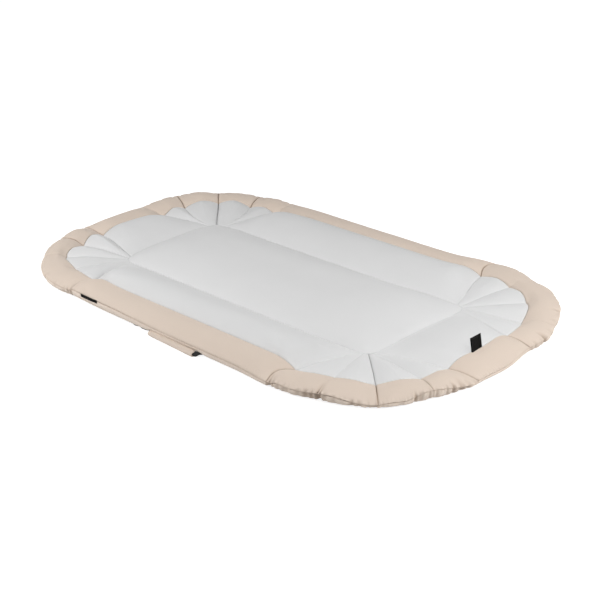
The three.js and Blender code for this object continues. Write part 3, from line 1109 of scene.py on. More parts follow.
    def layer(self, rows: Array, turned: bool, under: bool) -> Layer:
        """One face of the pad.

        Args:
            rows: The grid's rows.
            turned: Whether the last of them are the hem's rows.
            under: Whether the underside's outer face is meant.

        Returns:
            The face, with its cloth coordinates.
        """
        column, row = np.meshgrid(self.columns(), rows, indexing="ij")
        tucks = np.zeros(len(rows))
        if turned:
            tucks[-len(self.hem_tucks):] = self.hem_tucks
        points, fold = (self.under if under else self.upper)(column, row, np.broadcast_to(tucks, row.shape))
        pucker = bell((2 - row) * self.rim_width, self.detail.hem_pucker)
        if not under:
            if self.filling:
                points = points + resample(*self.filling, (column[:, 0], rows))
            pucker = np.maximum(bell(self.to_rim(row), self.detail.rim_pucker), pucker)
        cloth, cloth_next = (self.cloth(points, column, row, following) for following in (False, True))
        return Layer(points, cloth, cloth_next, fold, pucker)

    def stuffing(self, rows: Array) -> Layer:
        """The lower face of a stuffed part, which lies just above the underside's cover.

        Args:
            rows: The grid's rows.

        Returns:
            The face.
        """
        column, row = np.meshgrid(self.columns(), rows, indexing="ij")
        points, _ = self.under(column, row, np.zeros(row.shape))
        points[..., 2] += self.form.cover + STUFFING_GAP
        ceiling, _ = self.upper(column, np.minimum(row, 1.99), np.zeros(row.shape))
        points[..., 2] = np.minimum(points[..., 2], ceiling[..., 2] - CEILING_GAP)
        return Layer(points, points[..., :2])

    def build(self, finishes: "Finishes") -> None:
        """Make and dress the pad's three pieces.

        Args:
            finishes: The materials.
        """
        self.fill()
        gap = self.plan.seam_gap
        lining = graded(self.lining_width - gap + self.under_crease, self.lining_step) - self.under_crease
        lining = lining / self.lining_width
        rim = 1 + (gap + graded(self.rim_width - gap, self.rim_step)) / self.rim_width
        hem = 2 - np.array(self.hem_insets) / self.rim_width
        # The stuffings' lower faces bend with the underside, so all three share their rows
        inner = (gap + graded(self.lining_width - gap, self.under_step, fine_end=False)) / self.lining_width
        outer = 1 + (gap + graded(self.rim_width - gap, self.rim_step, fine_start=False)) / self.rim_width
        last = 2 - self.stuffing_inset / self.rim_width
        rim_stuffing = np.array([*outer[outer < 2 - self.stuffing_row_inset / self.rim_width], last])
        lining_stuffing = np.array([lining[0], *inner[1:-1], lining[-1]])
        outer_face = self.layer(np.concatenate([inner[:-1], outer, hem]), True, True)
        inner_points = outer_face.points + grid_normals(outer_face.points) * self.form.cover
        inner_points[..., 2] = np.maximum(inner_points[..., 2], self.form.cover * 0.5)
        faces = {
            "lining_padded": (self.layer(lining, False, False), self.stuffing(lining_stuffing)),
            "rim_padded": (self.layer(np.concatenate([rim, hem]), True, False), self.stuffing(rim_stuffing)),
            "underside_cover": (outer_face, Layer(inner_points, outer_face.cloth)),
        }
        lining_piece, rim_piece, underside_piece = (
            build_body(f"{self.name}_{word}", *pair) for word, pair in faces.items())
        dressed = (
            (lining_piece, finishes.lining, ("lining", "filling"), BOLSTER_FILL),
            (rim_piece, finishes.rim, ("rim",), BOLSTER_FILL),
            (underside_piece, finishes.underside, ("underside", *self.hem_nodes), COVER_FILL),
        )
        for piece, finish, words, fill in dressed:
            dress(piece, finish, *(f"{self.name}_{word}" for word in words), fill=fill)
            self.finish(piece)


@dataclass(kw_only=True)
class StraightPad(Pad):
    """A long side's or a short end's bolster, between two fans."""

    column_step: float = 0.0042
    # How far along the pad its corners draw its seams off their places
    corner_reach: float = 0.06
    # From which column the hem is level, out from the head
    level_from: float = 0.6
    # Where the handle lifts the underside, along the mat, and how much of that shows at the hem
    lift_half: float = 0.195
    lift_fade: float = 0.035
    hem_lift_middle: float = 0.0335
    hem_lift_half: float = 0.086
    hem_lift_fade: float = 0.015
    hem_lift_inset: float = 0.007
    hem_lift_share: float = 0.45

    def __post_init__(self) -> None:
        """Take the pad's sizes from the plan."""
        super().__post_init__()
        plan = self.plan
        self.long = isinstance(self.side, LongSide)
        self.inner_half = plan.arc_centre_x if self.long else plan.arc_centre_y
        self.seam_spacing = plan.fan_centre_x if self.long else plan.fan_centre_y
        self.crease_out = plan.mattress_half_width if self.long else plan.mattress_half_length
        self.lining_width = plan.side_lining_width if self.long else plan.end_lining_width
        self.rim_width = plan.side_rim_width if self.long else plan.end_rim_width
        self.panel_width = self.hem_length = 2 * self.seam_spacing

    @property
    def name(self) -> str:
        """How the pad's nodes begin."""
        return f"{self.side.word}_side" if self.long else f"{self.side.word}_end"

    def share(self, column: Array) -> Array:
        """How far a column lies from the nearer end, against half the pad's length."""
        return 1 - np.abs(column)

    def spacing_at(self, row: Array) -> Array:
        """Half the pad's length at each row."""
        return lerp(self.inner_half, self.seam_spacing, np.clip(row, 0, 1)) - self.plan.seam_gap

    def place(self, column: Array, row: Array) -> Array:
        """Regular places in plan.

        Args:
            column: The grid's columns.
            row: The grid's rows.

        Returns:
            Places in X and Y.
        """
        along = column * self.spacing_at(row)
        out = self.crease_out + np.minimum(row, 1) * self.lining_width
        out = out + np.maximum(row - 1, 0) * self.rim_width
        sign = self.side.value
        pair = (along, sign * out) if self.long else (sign * out, along)
        return np.stack(np.broadcast_arrays(*pair), axis=-1)

    def crest(self, row: Array) -> Array:
        """Height of the cover away from its radial seams."""
        sewing = PANELS[self.side]
        return self.form.height(row, self.form.panel.swollen(sewing.swell, sewing.power))

    def corner(self, end_sign: int) -> tuple[CornerSewing, float]:
        """The corner at one end of the pad.

        Args:
            end_sign: The end, by the sign of its column.

        Returns:
            The corner's sewing, and the fan's column where it meets the pad.
        """
        if self.long:
            return CORNERS[(self.side, ShortEnd(end_sign))], 0.0
        return CORNERS[(LongSide(end_sign), self.side)], float(self.plan.lobes)

    def settle(self, column: Array, row: Array) -> Array:
        """Shifts of the sewn seams, which die away along the pad.

        Args:
            column: The grid's columns.
            row: The grid's rows.

        Returns:
            Shifts in X, Y and Z.
        """
        total = np.zeros((*np.broadcast(column, row).shape, 3))
        away = np.ones(row.shape)
        for end_sign in (-1, 1):
            corner, seam = self.corner(end_sign)
            near_end = bell((1 - end_sign * column) * self.spacing_at(row), self.corner_reach)
            total += corner.at(np.full(row.shape, seam), row) * near_end[..., None]
            away = away * (1 - near_end)
        sewing, outer = PANELS[self.side], np.clip(row - 1, 0, 1)
        out = lerp(sewing.boundary_out * np.clip(row, 0, 1), sewing.edge_out, outer) * away
        total[..., 1 if self.long else 0] += self.side.value * out
        rise = lerp(sewing.boundary_rise * np.clip(row, 0, 1) ** 2, sewing.edge_rise, outer)
        total[..., 2] += rise * away
        return total

    def sway(self, column: Array) -> Array:
        """How far the hem seam rises towards the head."""
        towards_head = 1 - smooth_step((column + self.level_from) / self.level_from)
        return PANELS[self.side].head_rise * towards_head

    def seam_values(self, column: Array, table: str) -> Array:
        """A table of the corners' sewing, read for the nearer end of the pad."""
        ends = [getattr(self.corner(sign)[0], table)[int(self.corner(sign)[1])] for sign in (-1, 1)]
        return np.where(column < 0, ends[0], ends[1])

    def lateral(self, column: Array, row: Array, following: bool) -> Array:
        """Distance along the pad from its middle."""
        return column * self.spacing_at(row)

    def belly(self, column: Array, inset: Array) -> Array:
        """Height of the underside near the hem, drawn up where a handle is sewn on.

        Args:
            column: The grid's columns.
            inset: Distances in from the outer edge.

        Returns:
            Heights above the floor.
        """
        round_belly = super().belly(column, inset)
        if not self.long:
            return round_belly
        along = column * self.seam_spacing
        sewn = smooth_step((self.lift_half - np.abs(along)) / self.lift_fade)
        hem = smooth_step((self.hem_lift_half - np.abs(along - self.hem_lift_middle)) / self.hem_lift_fade)
        inside = smooth_step((inset - self.hem_lift_inset) / self.hem_lift_inset)
        lifted = lerp(self.hem_lift_share * hem, sewn, inside)
        return lerp(round_belly, self.form.handle_belly(inset), lifted)

    def finish(self, piece: bpy.types.Object) -> None:
        """Bake a long side's piece into place, or let an end's piece stay with the base.

        Args:
            piece: The piece.
        """
        if self.long:
            fold_up(piece, self.side)
        else:
            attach(piece, "base")


@dataclass(kw_only=True)
class FanPad(Pad):
    """A corner's fan of puffed lobes."""

    end: ShortEnd
    column_step: float = 0.0013
    hem_nodes: tuple[str, ...] = ("elastic",)
    # How the lobes' seams spread from the mattress's corner
    spread_power: float = 0.7
    slack_start: float = 1.2
    # How far apart the lobes' patterns lie
    pattern_step: float = 0.13
    # The hem's rise and fall, level where it meets the straight pads
    wave_length: float = 0.034
    calm_end: float = 0.2
    # The folds that the hem's elastic draws, over the rim and on the underside
    fold_fade_power: float = 1.3
    under_reach: float = 0.014
    under_reach_rate: float = 0.0006
    under_widening: float = 1.5

    def __post_init__(self) -> None:
        """Take the fan's sizes from the plan, and draw its hem's waves."""
        super().__post_init__()
        plan = self.plan
        self.sewing = CORNERS[(self.side, self.end)]
        self.seams = tuple(float(index) for index in range(plan.lobes + 1))
        self.lining_width, self.rim_width = plan.side_lining_width, plan.side_rim_width
        self.panel_width = self.seam_spacing = plan.lobe_width
        self.hem_length = (plan.fan_radius_y + plan.side_rim_width) * QUARTER_TURN
        self.edge_width = self.hem_length / plan.lobes
        self.waves = SoftNoise(self.seed + 50, self.wave_length)

    @property
    def name(self) -> str:
        """How the fan's nodes begin."""
        return f"{self.side.word}_{self.end.word}_corner"

    def place(self, column: Array, row: Array) -> Array:
        """Regular places in plan.

        Args:
            column: The grid's columns.
            row: The grid's rows.

        Returns:
            Places in X and Y.
        """
        plan = self.plan
        started = np.interp(column, np.arange(plan.lobes + 1), self.sewing.arc)
        spread = lerp(started, column / plan.lobes, np.clip(row, 0, 1) ** self.spread_power)
        angle = (1 - spread) * math.pi / 2
        inner, outer = np.minimum(row, 1), np.maximum(row - 1, 0)
        bulged = lerp(plan.boundary_scallop * inner, self.sewing.scallop, outer)
        bulged = bulged * np.abs(np.sin(math.pi * column))
        radius_x = lerp(plan.corner_radius, plan.fan_radius_x, inner) + outer * plan.end_rim_width
        radius_y = lerp(plan.corner_radius, plan.fan_radius_y, inner) + outer * plan.side_rim_width
        x = lerp(plan.arc_centre_x, plan.fan_centre_x, inner) + (radius_x + bulged) * np.cos(angle)
        y = lerp(plan.arc_centre_y, plan.fan_centre_y, inner) + (radius_y + bulged) * np.sin(angle)
        return np.stack([self.end.value * x, self.side.value * y], axis=-1)

    def looseness(self, row: Array) -> Array:
        """How much of the hem's slack the cover has, from 0 to 1."""
        return self.sewing.slack * smooth_step((row - self.slack_start) / (2 - self.slack_start))

    def share(self, column: Array) -> Array:
        """How far a column lies from its nearest seam, as a share of a lobe."""
        within = column - np.floor(column)
        return np.minimum(within, 1 - within)

    def spacing_at(self, row: Array) -> Array:
        """Width of one lobe at each row.

        Args:
            row: The grid's rows.

        Returns:
            Widths along the seam.
        """
        plan = self.plan
        radius = lerp(plan.corner_radius, plan.fan_radius_y, np.clip(row, 0, 1))
        radius = radius + np.maximum(row - 1, 0) * plan.side_rim_width
        return radius * QUARTER_TURN / plan.lobes

    def crest(self, row: Array) -> Array:
        """Height of the cover away from its radial seams."""
        return self.form.fan_height(row, True, self.sewing.swell)

    def settle(self, column: Array, row: Array) -> Array:
        """Shifts of the sewn seams off their regular places."""
        return self.sewing.at(column, row)

    def seam_values(self, column: Array, table: str) -> Array:
        """A table of the corner's sewing, read for the nearest radial seam."""
        return np.array(getattr(self.sewing, table))[np.round(column).astype(int)]

    def puff(self, column: Array) -> Array:
        """How full each lobe is, against its regular section."""
        lobe = np.clip(np.floor(column), 0, self.plan.lobes - 1).astype(int)
        return np.array(self.sewing.puff)[lobe]

    def gathers(self, column: Array, inset: Array, under: bool) -> Array:
        """Depths of the hem's folds.

        Args:
            column: The grid's columns.
            inset: Distances in from the outer edge.
            under: Whether the underside is meant.

        Returns:
            How deep the folds are at each place.
        """
        total = np.zeros(np.broadcast(column, inset).shape)
        for place, width, deep, reach in self.sewing.folds:
            reach = self.under_reach + self.under_reach_rate * reach if under else MILLIMETRE * reach
            fade = np.clip(1 - inset / reach, 0, 1) ** self.fold_fade_power
            wide = width * MILLIMETRE * (self.under_widening if under else 1.0)
            total += deep * MILLIMETRE * bell((column - place) * self.edge_width, wide) * fade
        return total

    def sway(self, column: Array) -> Array:
        """How far the hem seam rises and falls.

        Args:
            column: The grid's columns.

        Returns:
            Heights to add.
        """
        ends = smooth_step(column / self.calm_end)
        ends = ends * smooth_step((self.plan.lobes - column) / self.calm_end)
        return self.sewing.sway * self.waves.at(column * self.edge_width, column * 0) * ends

    def lateral(self, column: Array, row: Array, following: bool) -> Array:
        """Distance across the lobe from its middle.

        Args:
            column: The grid's columns.
            row: The grid's rows.
            following: On a seam, whether the lobe after it is meant.

        Returns:
            Distances along the hem's direction.
        """
        lobe = np.floor(column) if following else np.ceil(column) - 1
        lobe = np.clip(lobe, 0, self.plan.lobes - 1)
        return (column - lobe - 0.5) * self.spacing_at(row) + lobe * self.pattern_step

    def finish(self, piece: bpy.types.Object) -> None:
        """Bake a piece's placement into its mesh."""
        fold_up(piece, self.side)


@dataclass
class Mattress:
    """The raised mattress in the middle of the mat."""

    plan: MatPlan
    form: PadForm
    step: float = 0.0045
    crown: float = 0.044
    shoulder: float = 0.112
    crown_power: float = 2.2
    lip_width: float = 0.018
    lip_power: float = 3
    lip_share: float = 0.20
    foam_share: float = 0.5
    lumps: SoftNoise = SoftNoise(7, 0.09)
    lump_height: float = 0.0012
    ripples: SoftNoise = SoftNoise(8, 0.023)
    ripple_height: float = 0.0002
    seam_calm: float = 0.04
    ditch_share: float = 0.3
    # The painted shade along the crease: its width and its strength
    line_width: float = 0.0012
    line_darkness: float = 0.2

    def lines(self, half: float) -> Array:
        """Grid lines from one edge to the other."""
        return graded(2 * half, self.step) - half

    def place(self, x: Array, y: Array) -> Array:
        """Round the four corners of a rectangle in plan.

        Args:
            x: Places along the rectangle.
            y: Places across it.

        Returns:
            Places in X and Y.
        """
        plan = self.plan
        radius = plan.corner_radius
        a = np.maximum(0, (np.abs(x) - plan.arc_centre_x) / radius)
        b = np.maximum(0, (np.abs(y) - plan.arc_centre_y) / radius)
        corner = (a > 0) & (b > 0)
        trimmed = radius - plan.seam_gap
        corner_x = np.sign(x) * (plan.arc_centre_x + trimmed * a * np.sqrt(1 - b * b / 2))
        corner_y = np.sign(y) * (plan.arc_centre_y + trimmed * b * np.sqrt(1 - a * a / 2))
        straight_x = x * (1 - plan.seam_gap / plan.mattress_half_length)
        straight_y = y * (1 - plan.seam_gap / plan.mattress_half_width)
        places = (np.where(corner, corner_x, straight_x), np.where(corner, corner_y, straight_y))
        return np.stack(places, axis=-1)

    def rise(self, distance: Array) -> Array:
        """How far the top has risen, from 0 to 1.

        Args:
            distance: Distances in from the crease.

        Returns:
            Shares of the full height.
        """
        dome = 1 - np.maximum(0, 1 - distance / self.shoulder) ** self.crown_power
        lip = 1 - np.maximum(0, 1 - distance / self.lip_width) ** self.lip_power
        return lerp(dome, lip, self.lip_share)

    def top(self, along: Array, across: Array) -> tuple[Array, Array, Array]:
        """The mattress's top.

        Args:
            along: Grid lines along the mat.
            across: Grid lines across the mat.

        Returns:
            Its points, how far the crease's shift moves them, and their distance in from the crease.
        """
        x, y = np.meshgrid(along, across, indexing="ij")
        regular = self.place(x, y)
        shift = crease_shift(self.plan, *np.moveaxis(regular, -1, 0))
        from_end = self.plan.mattress_half_length - np.abs(x)
        from_side = self.plan.mattress_half_width - np.abs(y)
        to_crease = np.minimum(from_end, from_side)
        height = lerp(self.form.crease, self.crown, self.rise(from_end) * self.rise(from_side))
        uneven = self.lump_height * self.lumps.at(x, y) + self.ripple_height * self.ripples.at(x, y)
        height = height + uneven * smooth_step(to_crease / self.seam_calm)
        height = height - self.form.ditch(to_crease) * self.ditch_share
        return np.dstack([regular, height]) + shift, shift, to_crease

    def build(self, finishes: "Finishes") -> None:
        """Make and dress the mattress.

        Args:
            finishes: The materials.
        """
        form, halves = self.form, (self.plan.mattress_half_length, self.plan.mattress_half_width)
        lines = [self.lines(half) for half in halves]
        points, shift, to_crease = self.top(*lines)
        coarse = [half * (2 * FILLING.lines(2 * half) - 1) for half in halves]
        sheet, _, inside = self.top(*coarse)
        move = FILLING.swell("mattress", sheet, inside < 1e-6, np.zeros(inside.shape)) * self.foam_share
        points = points + resample(move, coarse, lines)
        places = points[..., :2]
        # Painted shade along the crease, darker towards it
        top = Layer(points, places, fold=self.line_darkness * bell(to_crease, self.line_width))
        drawn_up = form.under_crease_height(to_crease) * (1 + shift[..., 2] / form.crease_under)
        bottom = np.dstack([places, drawn_up])
        stuffed = np.minimum(drawn_up + form.cover + STUFFING_GAP, points[..., 2] - CEILING_GAP)
        lining = build_body("mattress_lining_padded", top, Layer(np.dstack([places, stuffed]), places))
        inner = Layer(bottom + np.array([0, 0, form.cover]), places)
        underside = build_body("mattress_underside_cover", inner, Layer(bottom, places))
        dress(lining, finishes.lining, "mattress_lining", "mattress_foam", fill=MATTRESS_FILL)
        dress(underside, finishes.underside, "mattress_underside", fill=COVER_FILL)
        for piece in (lining, underside):
            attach(piece, "base")


@dataclass
class CarryHandle:
    """A carry handle: a webbing strap sewn under the rim, and the padded grip that it runs through."""

    side: LongSide
    form: PadForm
    edge_out: float = 0.3508
    webbing_width: float = 0.018
    webbing_thickness: float = 0.0016
    # Half the webbing's section: places across it and its thickness there, as shares
    webbing_shares: Values = (-1, -0.93, -0.5, 0, 0.5, 0.93, 1)
    webbing_lifts: Values = (0.35, 1, 0.9, 0.95, 0.9, 1, 0.35)
    webbing_floor: float = 0.0002
    station: float = 0.0025
    grip_start: Pair = (-0.036, 0.3513)
    grip_end: Pair = (0.097, 0.3568)
    grip_half_width: float = 0.0078
    grip_half_height: float = 0.0056
    grip_height: float = 0.0059
    grip_floor: float = 0.0005
    grip_girth: float = 0.062
    grip_points: int = 40
    grip_powers: Pair = (0.82, 0.90)
    # The grip's mouths, from inside: depth in metres, share of the width and of the height, and painted
    # shade
    mouth: tuple[Values, ...] = (
        (0.004, 0.62, 0.24, 1), (0.0016, 0.74, 0.34, 1), (0.0004, 0.86, 0.62, 0.7))
    # Where along the grip its rings lie: some at each end, and the even ones between
    end_shares: Values = (0.004, 0.012, 0.03, 0.055)
    middle_shares: Pair = (0.08, 0.92)
    middle_rings: int = 36
    # How much narrower and lower the grip is at its ends, and over what length
    end_narrowing: Pair = (0.05, 0.004)
    end_lowering: Pair = (0.10, 0.005)
    # The grip's seam with its painted shade, and its small folds
    seam_turn: float = 3.9
    seam_depth: float = 0.10
    seam_width: float = 0.10
    seam_darkness: float = 0.6
    seam_line: float = 0.07
    fold_depth: float = 0.05
    fold_reach: float = 0.012
    fold_turns: int = 7
    fold_twist: float = 9
    lump_depth: float = 0.035
    lump_size: float = 0.02
    lump_seed: int = 61
    # How far apart the lumps of the grip's sides lie, for each radian around it
    lump_turn: float = 0.01
    # Where each leg of the strap leaves the underside and where the grip holds it, along the mat
    leg_reach = {ShortEnd.HEAD: (-0.121, -0.034), ShortEnd.FOOT: (0.131, 0.099)}
    sewn_roll: float = 13.0
    # The strap's way: along the mat, out from the middle, height or none where sewn on, roll in
    # degrees, share of its width
    stops: tuple[tuple[float | None, ...], ...] = (
        (-0.150, 0.3262, None, 0, 1), (-0.135, 0.3262, None, 0, 1), (-0.120, 0.3262, None, 0, 1),
        (-0.110, 0.3290, 0.0036, -4, 0.9), (-0.100, 0.3348, 0.0016, 0, 0.7),
        (-0.091, 0.3368, 0.0013, 0, 0.7), (-0.082, 0.3335, 0.0012, 0, 0.7),
        (-0.072, 0.3368, 0.0013, 0, 0.7), (-0.061, 0.3362, 0.0014, 0, 0.7),
        (-0.050, 0.3345, 0.0024, 0, 0.7), (-0.038, 0.3440, 0.0050, 0, 0.65),
        (-0.028, 0.3508, 0.0064, 0, 0.6), (-0.010, 0.3522, 0.0065, 0, 0.6),
        (0.030, 0.3540, 0.0065, 0, 0.6), (0.080, 0.3560, 0.0065, 0, 0.6),
        (0.0930, 0.3560, 0.0065, 8, 0.6), (0.0968, 0.3560, 0.0062, 62, 0.6),
        (0.0992, 0.3540, 0.0060, 80, 0.6), (0.1010, 0.3500, 0.0062, 60, 0.42),
        (0.1040, 0.3455, 0.0066, 20, 0.32), (0.1090, 0.3400, 0.0062, 8, 0.4),
        (0.1180, 0.3340, 0.0050, 0, 0.7), (0.1265, 0.3290, 0.0058, 0, 1),
        (0.135, 0.3262, None, 0, 1), (0.150, 0.3262, None, 0, 1),
    )

    @property
    def name(self) -> str:
        """How the handle's nodes begin."""
        return f"{self.side.word}_handle"

    def way(self) -> tuple[Array, Array, Array]:
        """The strap's middle line.

        Returns:
            Its points, its roll at each in radians, and its share of the webbing's width.
        """
        rows = []
        for along, out, height, roll, width in self.stops:
            if height is None:
                belly = float(self.form.handle_belly(np.array(self.edge_out - out)))
                height, roll = belly - self.webbing_thickness * 0.7, self.sewn_roll
            rows.append((along, self.side.value * out, height, math.radians(roll), width))
        rows = np.array(rows)
        knots = np.concatenate([[0], np.cumsum(np.linalg.norm(np.diff(rows[:, :3], axis=0), axis=1))])
        places = np.linspace(0, knots[-1], round(knots[-1] / self.station) + 1)
        slopes = np.gradient(rows, knots, axis=0)
        k = np.clip(np.searchsorted(knots, places, side="right") - 1, 0, len(knots) - 2)
        span = (knots[k + 1] - knots[k])[:, None]
        t = (places - knots[k])[:, None] / span
        line = (
            rows[k] * (2 * t**3 - 3 * t**2 + 1) + rows[k + 1] * (3 * t**2 - 2 * t**3)
            + slopes[k] * span * (t**3 - 2 * t**2 + t) + slopes[k + 1] * span * (t**3 - t**2)
        )
        return line[:, :3], line[:, 3], line[:, 4]

    def strap(self, finish: "WebbingFinish") -> None:
        """Make and dress the webbing strap, in two legs that meet inside the grip.

        Args:
            finish: Its finish.
        """
        line, roll, width = self.way()
        ahead = np.gradient(line, axis=0)
        ahead /= np.linalg.norm(ahead, axis=1, keepdims=True)
        across = np.cross(ahead, (0, 0, 1.0)) * -self.side.value
        across /= np.linalg.norm(across, axis=1, keepdims=True)
        over = np.cross(across, ahead) * self.side.value
        over *= np.sign(over[:, 2:])
        turned = across * np.cos(roll)[:, None] - over * np.sin(roll)[:, None]
        raised = over * np.cos(roll)[:, None] + across * np.sin(roll)[:, None]
        half, thick = self.webbing_width / 2, self.webbing_thickness / 2
        upper = np.stack([self.webbing_shares, self.webbing_lifts], axis=1)
        section = np.concatenate([upper, (upper * (1, -1))[::-1]])
        rings = (
            line[:, None] + turned[:, None] * section[None, :, :1] * half * width[:, None, None]
            + raised[:, None] * section[None, :, 1:] * thick / width[:, None, None]
        )
        rings[..., 2] = np.maximum(rings[..., 2], self.webbing_floor)
        travelled = np.concatenate([[0], np.cumsum(np.linalg.norm(np.diff(line, axis=0), axis=1))])
        wide = np.append(section[:, 0], section[0, 0]) * half
        cloth = np.stack(np.meshgrid(travelled, wide, indexing="ij"), axis=-1)
        middle = len(line) // 2
        for end, part in ((ShortEnd.HEAD, slice(0, middle + 1)), (ShortEnd.FOOT, slice(middle, None))):
            flat = np.zeros(rings[part].shape[:2])
            leg = build_sleeve(f"{self.name}_strap_{end.word}", rings[part], cloth[part], flat)
            dress(leg, finish, f"{self.name}_webbing")
            self.side.body
            self.side.handle_body
            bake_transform(leg)

    def grip(self, finish: "TwillFinish") -> None:
        """Make and dress the padded grip, open in a narrow mouth at each end.

        Args:
            finish: Its finish.
        """
        sign = self.side.value
        start, end = (np.array([along, sign * out, self.grip_height])
                      for along, out in (self.grip_start, self.grip_end))
        length = np.linalg.norm(end - start)
        mouth, tips = np.array(self.mouth), np.array(self.end_shares)
        shares = np.concatenate([tips, np.linspace(*self.middle_shares, self.middle_rings), 1 - tips[::-1]])
        inside, close = mouth[:, 0] / length, np.minimum(shares, 1 - shares) * length
        share = np.concatenate([inside, shares, 1 - inside[::-1]])[:, None]
        bodies = [1 - less * np.exp(-close / reach)
                  for less, reach in (self.end_narrowing, self.end_lowering)]
        # The mouths' last column is painted shade inside them, none along the grip's body
        wide, high, dark = (
            np.concatenate([ends, body, ends[::-1]])[:, None]
            for ends, body in zip(mouth[:, 1:].T, (*bodies, 0 * close)))
        turn = np.linspace(0, FULL_TURN, self.grip_points, endpoint=False)
        from_mouth = np.minimum(share, 1 - share) * length
        folds = np.sin(turn * self.fold_turns + share * self.fold_twist)
        folds = folds * np.exp(-from_mouth / self.fold_reach)
        noise = SoftNoise(self.lump_seed + sign, self.lump_size)
        lumps = noise.at(turn * self.lump_turn + share * length, share * 0)
        size = 1 + self.lump_depth * lumps + self.fold_depth * folds
        size = size * (1 - self.seam_depth * bell(turn - self.seam_turn, self.seam_width))
        across, up = (np.sign(wave) * np.abs(wave) ** power
                      for wave, power in zip((np.cos(turn), np.sin(turn)), self.grip_powers))
        across = across * wide * size * self.grip_half_width * sign
        up = up * high * size * self.grip_half_height
        points = start + (end - start) * share[..., None] + np.stack([0 * size, across, up], axis=-1)
        points[..., 2] = np.maximum(points[..., 2], self.grip_floor)
        round_it = np.linspace(0, self.grip_girth, self.grip_points + 1)
        cloth = np.stack(np.meshgrid(share * length, round_it, indexing="ij"), axis=-1)
        # Painted shade: dark inside the mouths and along the seam
        fold = np.maximum(dark, self.seam_darkness * bell(turn - self.seam_turn, self.seam_line))
        piece = build_sleeve(f"{self.name}_grip_padded", points, cloth, fold)
        dress(piece, finish, f"{self.name}_grip_cover", f"{self.name}_grip_padding", fill=GRIP_FILL)
        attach(piece, self.side.handle_body)

    def build(self, finishes: "Finishes") -> None:
        """Make and dress the handle."""
        self.strap(finishes.webbing)
        self.grip(finishes.rim)


@dataclass
class SewnLabel:
    """A small woven label, cut from a plate, rounded, bowed and set into its seam."""

    name: str
    node: str
    body: str
    size: tuple[float, float, float]
    place: tuple[float, float, float]
    lean: tuple[float, str]
    bow: tuple[float, str]
    shadow: bool = True
    edge_share: float = 0.35
    bend_step: float = 0.003
    smooth_angle: float = math.radians(40)

    @property
    def wide_axes(self) -> list[int]:
        """The two axes across which the flat label spreads."""
        return [axis for axis in range(3) if self.size[axis] != min(self.size)]

    def build(self, finish: "LabelFinish") -> None:
        """Make and dress the label.

        Args:
            finish: Its finish.
        """
        bpy.ops.object.select_all(action="DESELECT")
        bpy.ops.mesh.primitive_cube_add(size=1)
        label = bpy.context.object
        label.name = label.data.name = self.name
        bpy.ops.transform.resize(value=self.size)
        bpy.ops.object.transform_apply(location=False, rotation=False, scale=True)
        bpy.ops.object.mode_set(mode="EDIT")
        bpy.ops.mesh.select_all(action="SELECT")
        bpy.ops.mesh.bevel(offset=min(self.size) * self.edge_share, segments=3, affect="EDGES")
        for axis in self.wide_axes:
            cuts = max(4, round(self.size[axis] / self.bend_step))
            for index in range(1, cuts):
                place, normal = [0.0, 0.0, 0.0], [0.0, 0.0, 0.0]
                place[axis] = self.size[axis] * (index / cuts - 0.5)
                normal[axis] = 1.0
                bpy.ops.mesh.select_all(action="SELECT")
                bpy.ops.mesh.bisect(plane_co=place, plane_no=normal)
        bpy.ops.object.mode_set(mode="OBJECT")
        self.lay_cloth(label.data)
        bow = label.modifiers.new("bow", "SIMPLE_DEFORM")
        bow.deform_method = "BEND"
        bow.angle = math.radians(self.bow[0])
        bow.deform_axis = self.bow[1]
        bpy.ops.object.modifier_apply(modifier=bow.name)
        bpy.ops.object.mode_set(mode="EDIT")
        bpy.ops.mesh.select_all(action="SELECT")
        angle, axis = math.radians(self.lean[0]), self.lean[1]
        bpy.ops.transform.rotate(value=angle, orient_axis=axis, center_override=(0, 0, 0))
        bpy.ops.transform.translate(value=self.place)
        bpy.ops.object.mode_set(mode="OBJECT")
        bpy.ops.object.shade_smooth_by_angle(angle=self.smooth_angle)
        dress(label, finish, self.node)
        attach(label, self.body)
        label.visible_shadow = self.shadow

    def lay_cloth(self, mesh: bpy.types.Mesh) -> None:
        """Write the flat label's own coordinates, from its middle, as its cloth coordinates.

        Args:
            mesh: The label's mesh, before it is bowed and placed.
        """
        points = np.zeros(len(mesh.vertices) * 3, np.float32)
        mesh.vertices.foreach_get("co", points)
        corners = np.zeros(len(mesh.loops), np.int32)
        mesh.loops.foreach_get("vertex_index", corners)
        flat = points.reshape(-1, 3)[:, self.wide_axes][corners]
        while mesh.uv_layers:
            mesh.uv_layers.remove(mesh.uv_layers[0])
        mesh.uv_layers.new(name="cloth").data.foreach_set("uv", flat.ravel())


# Finishes


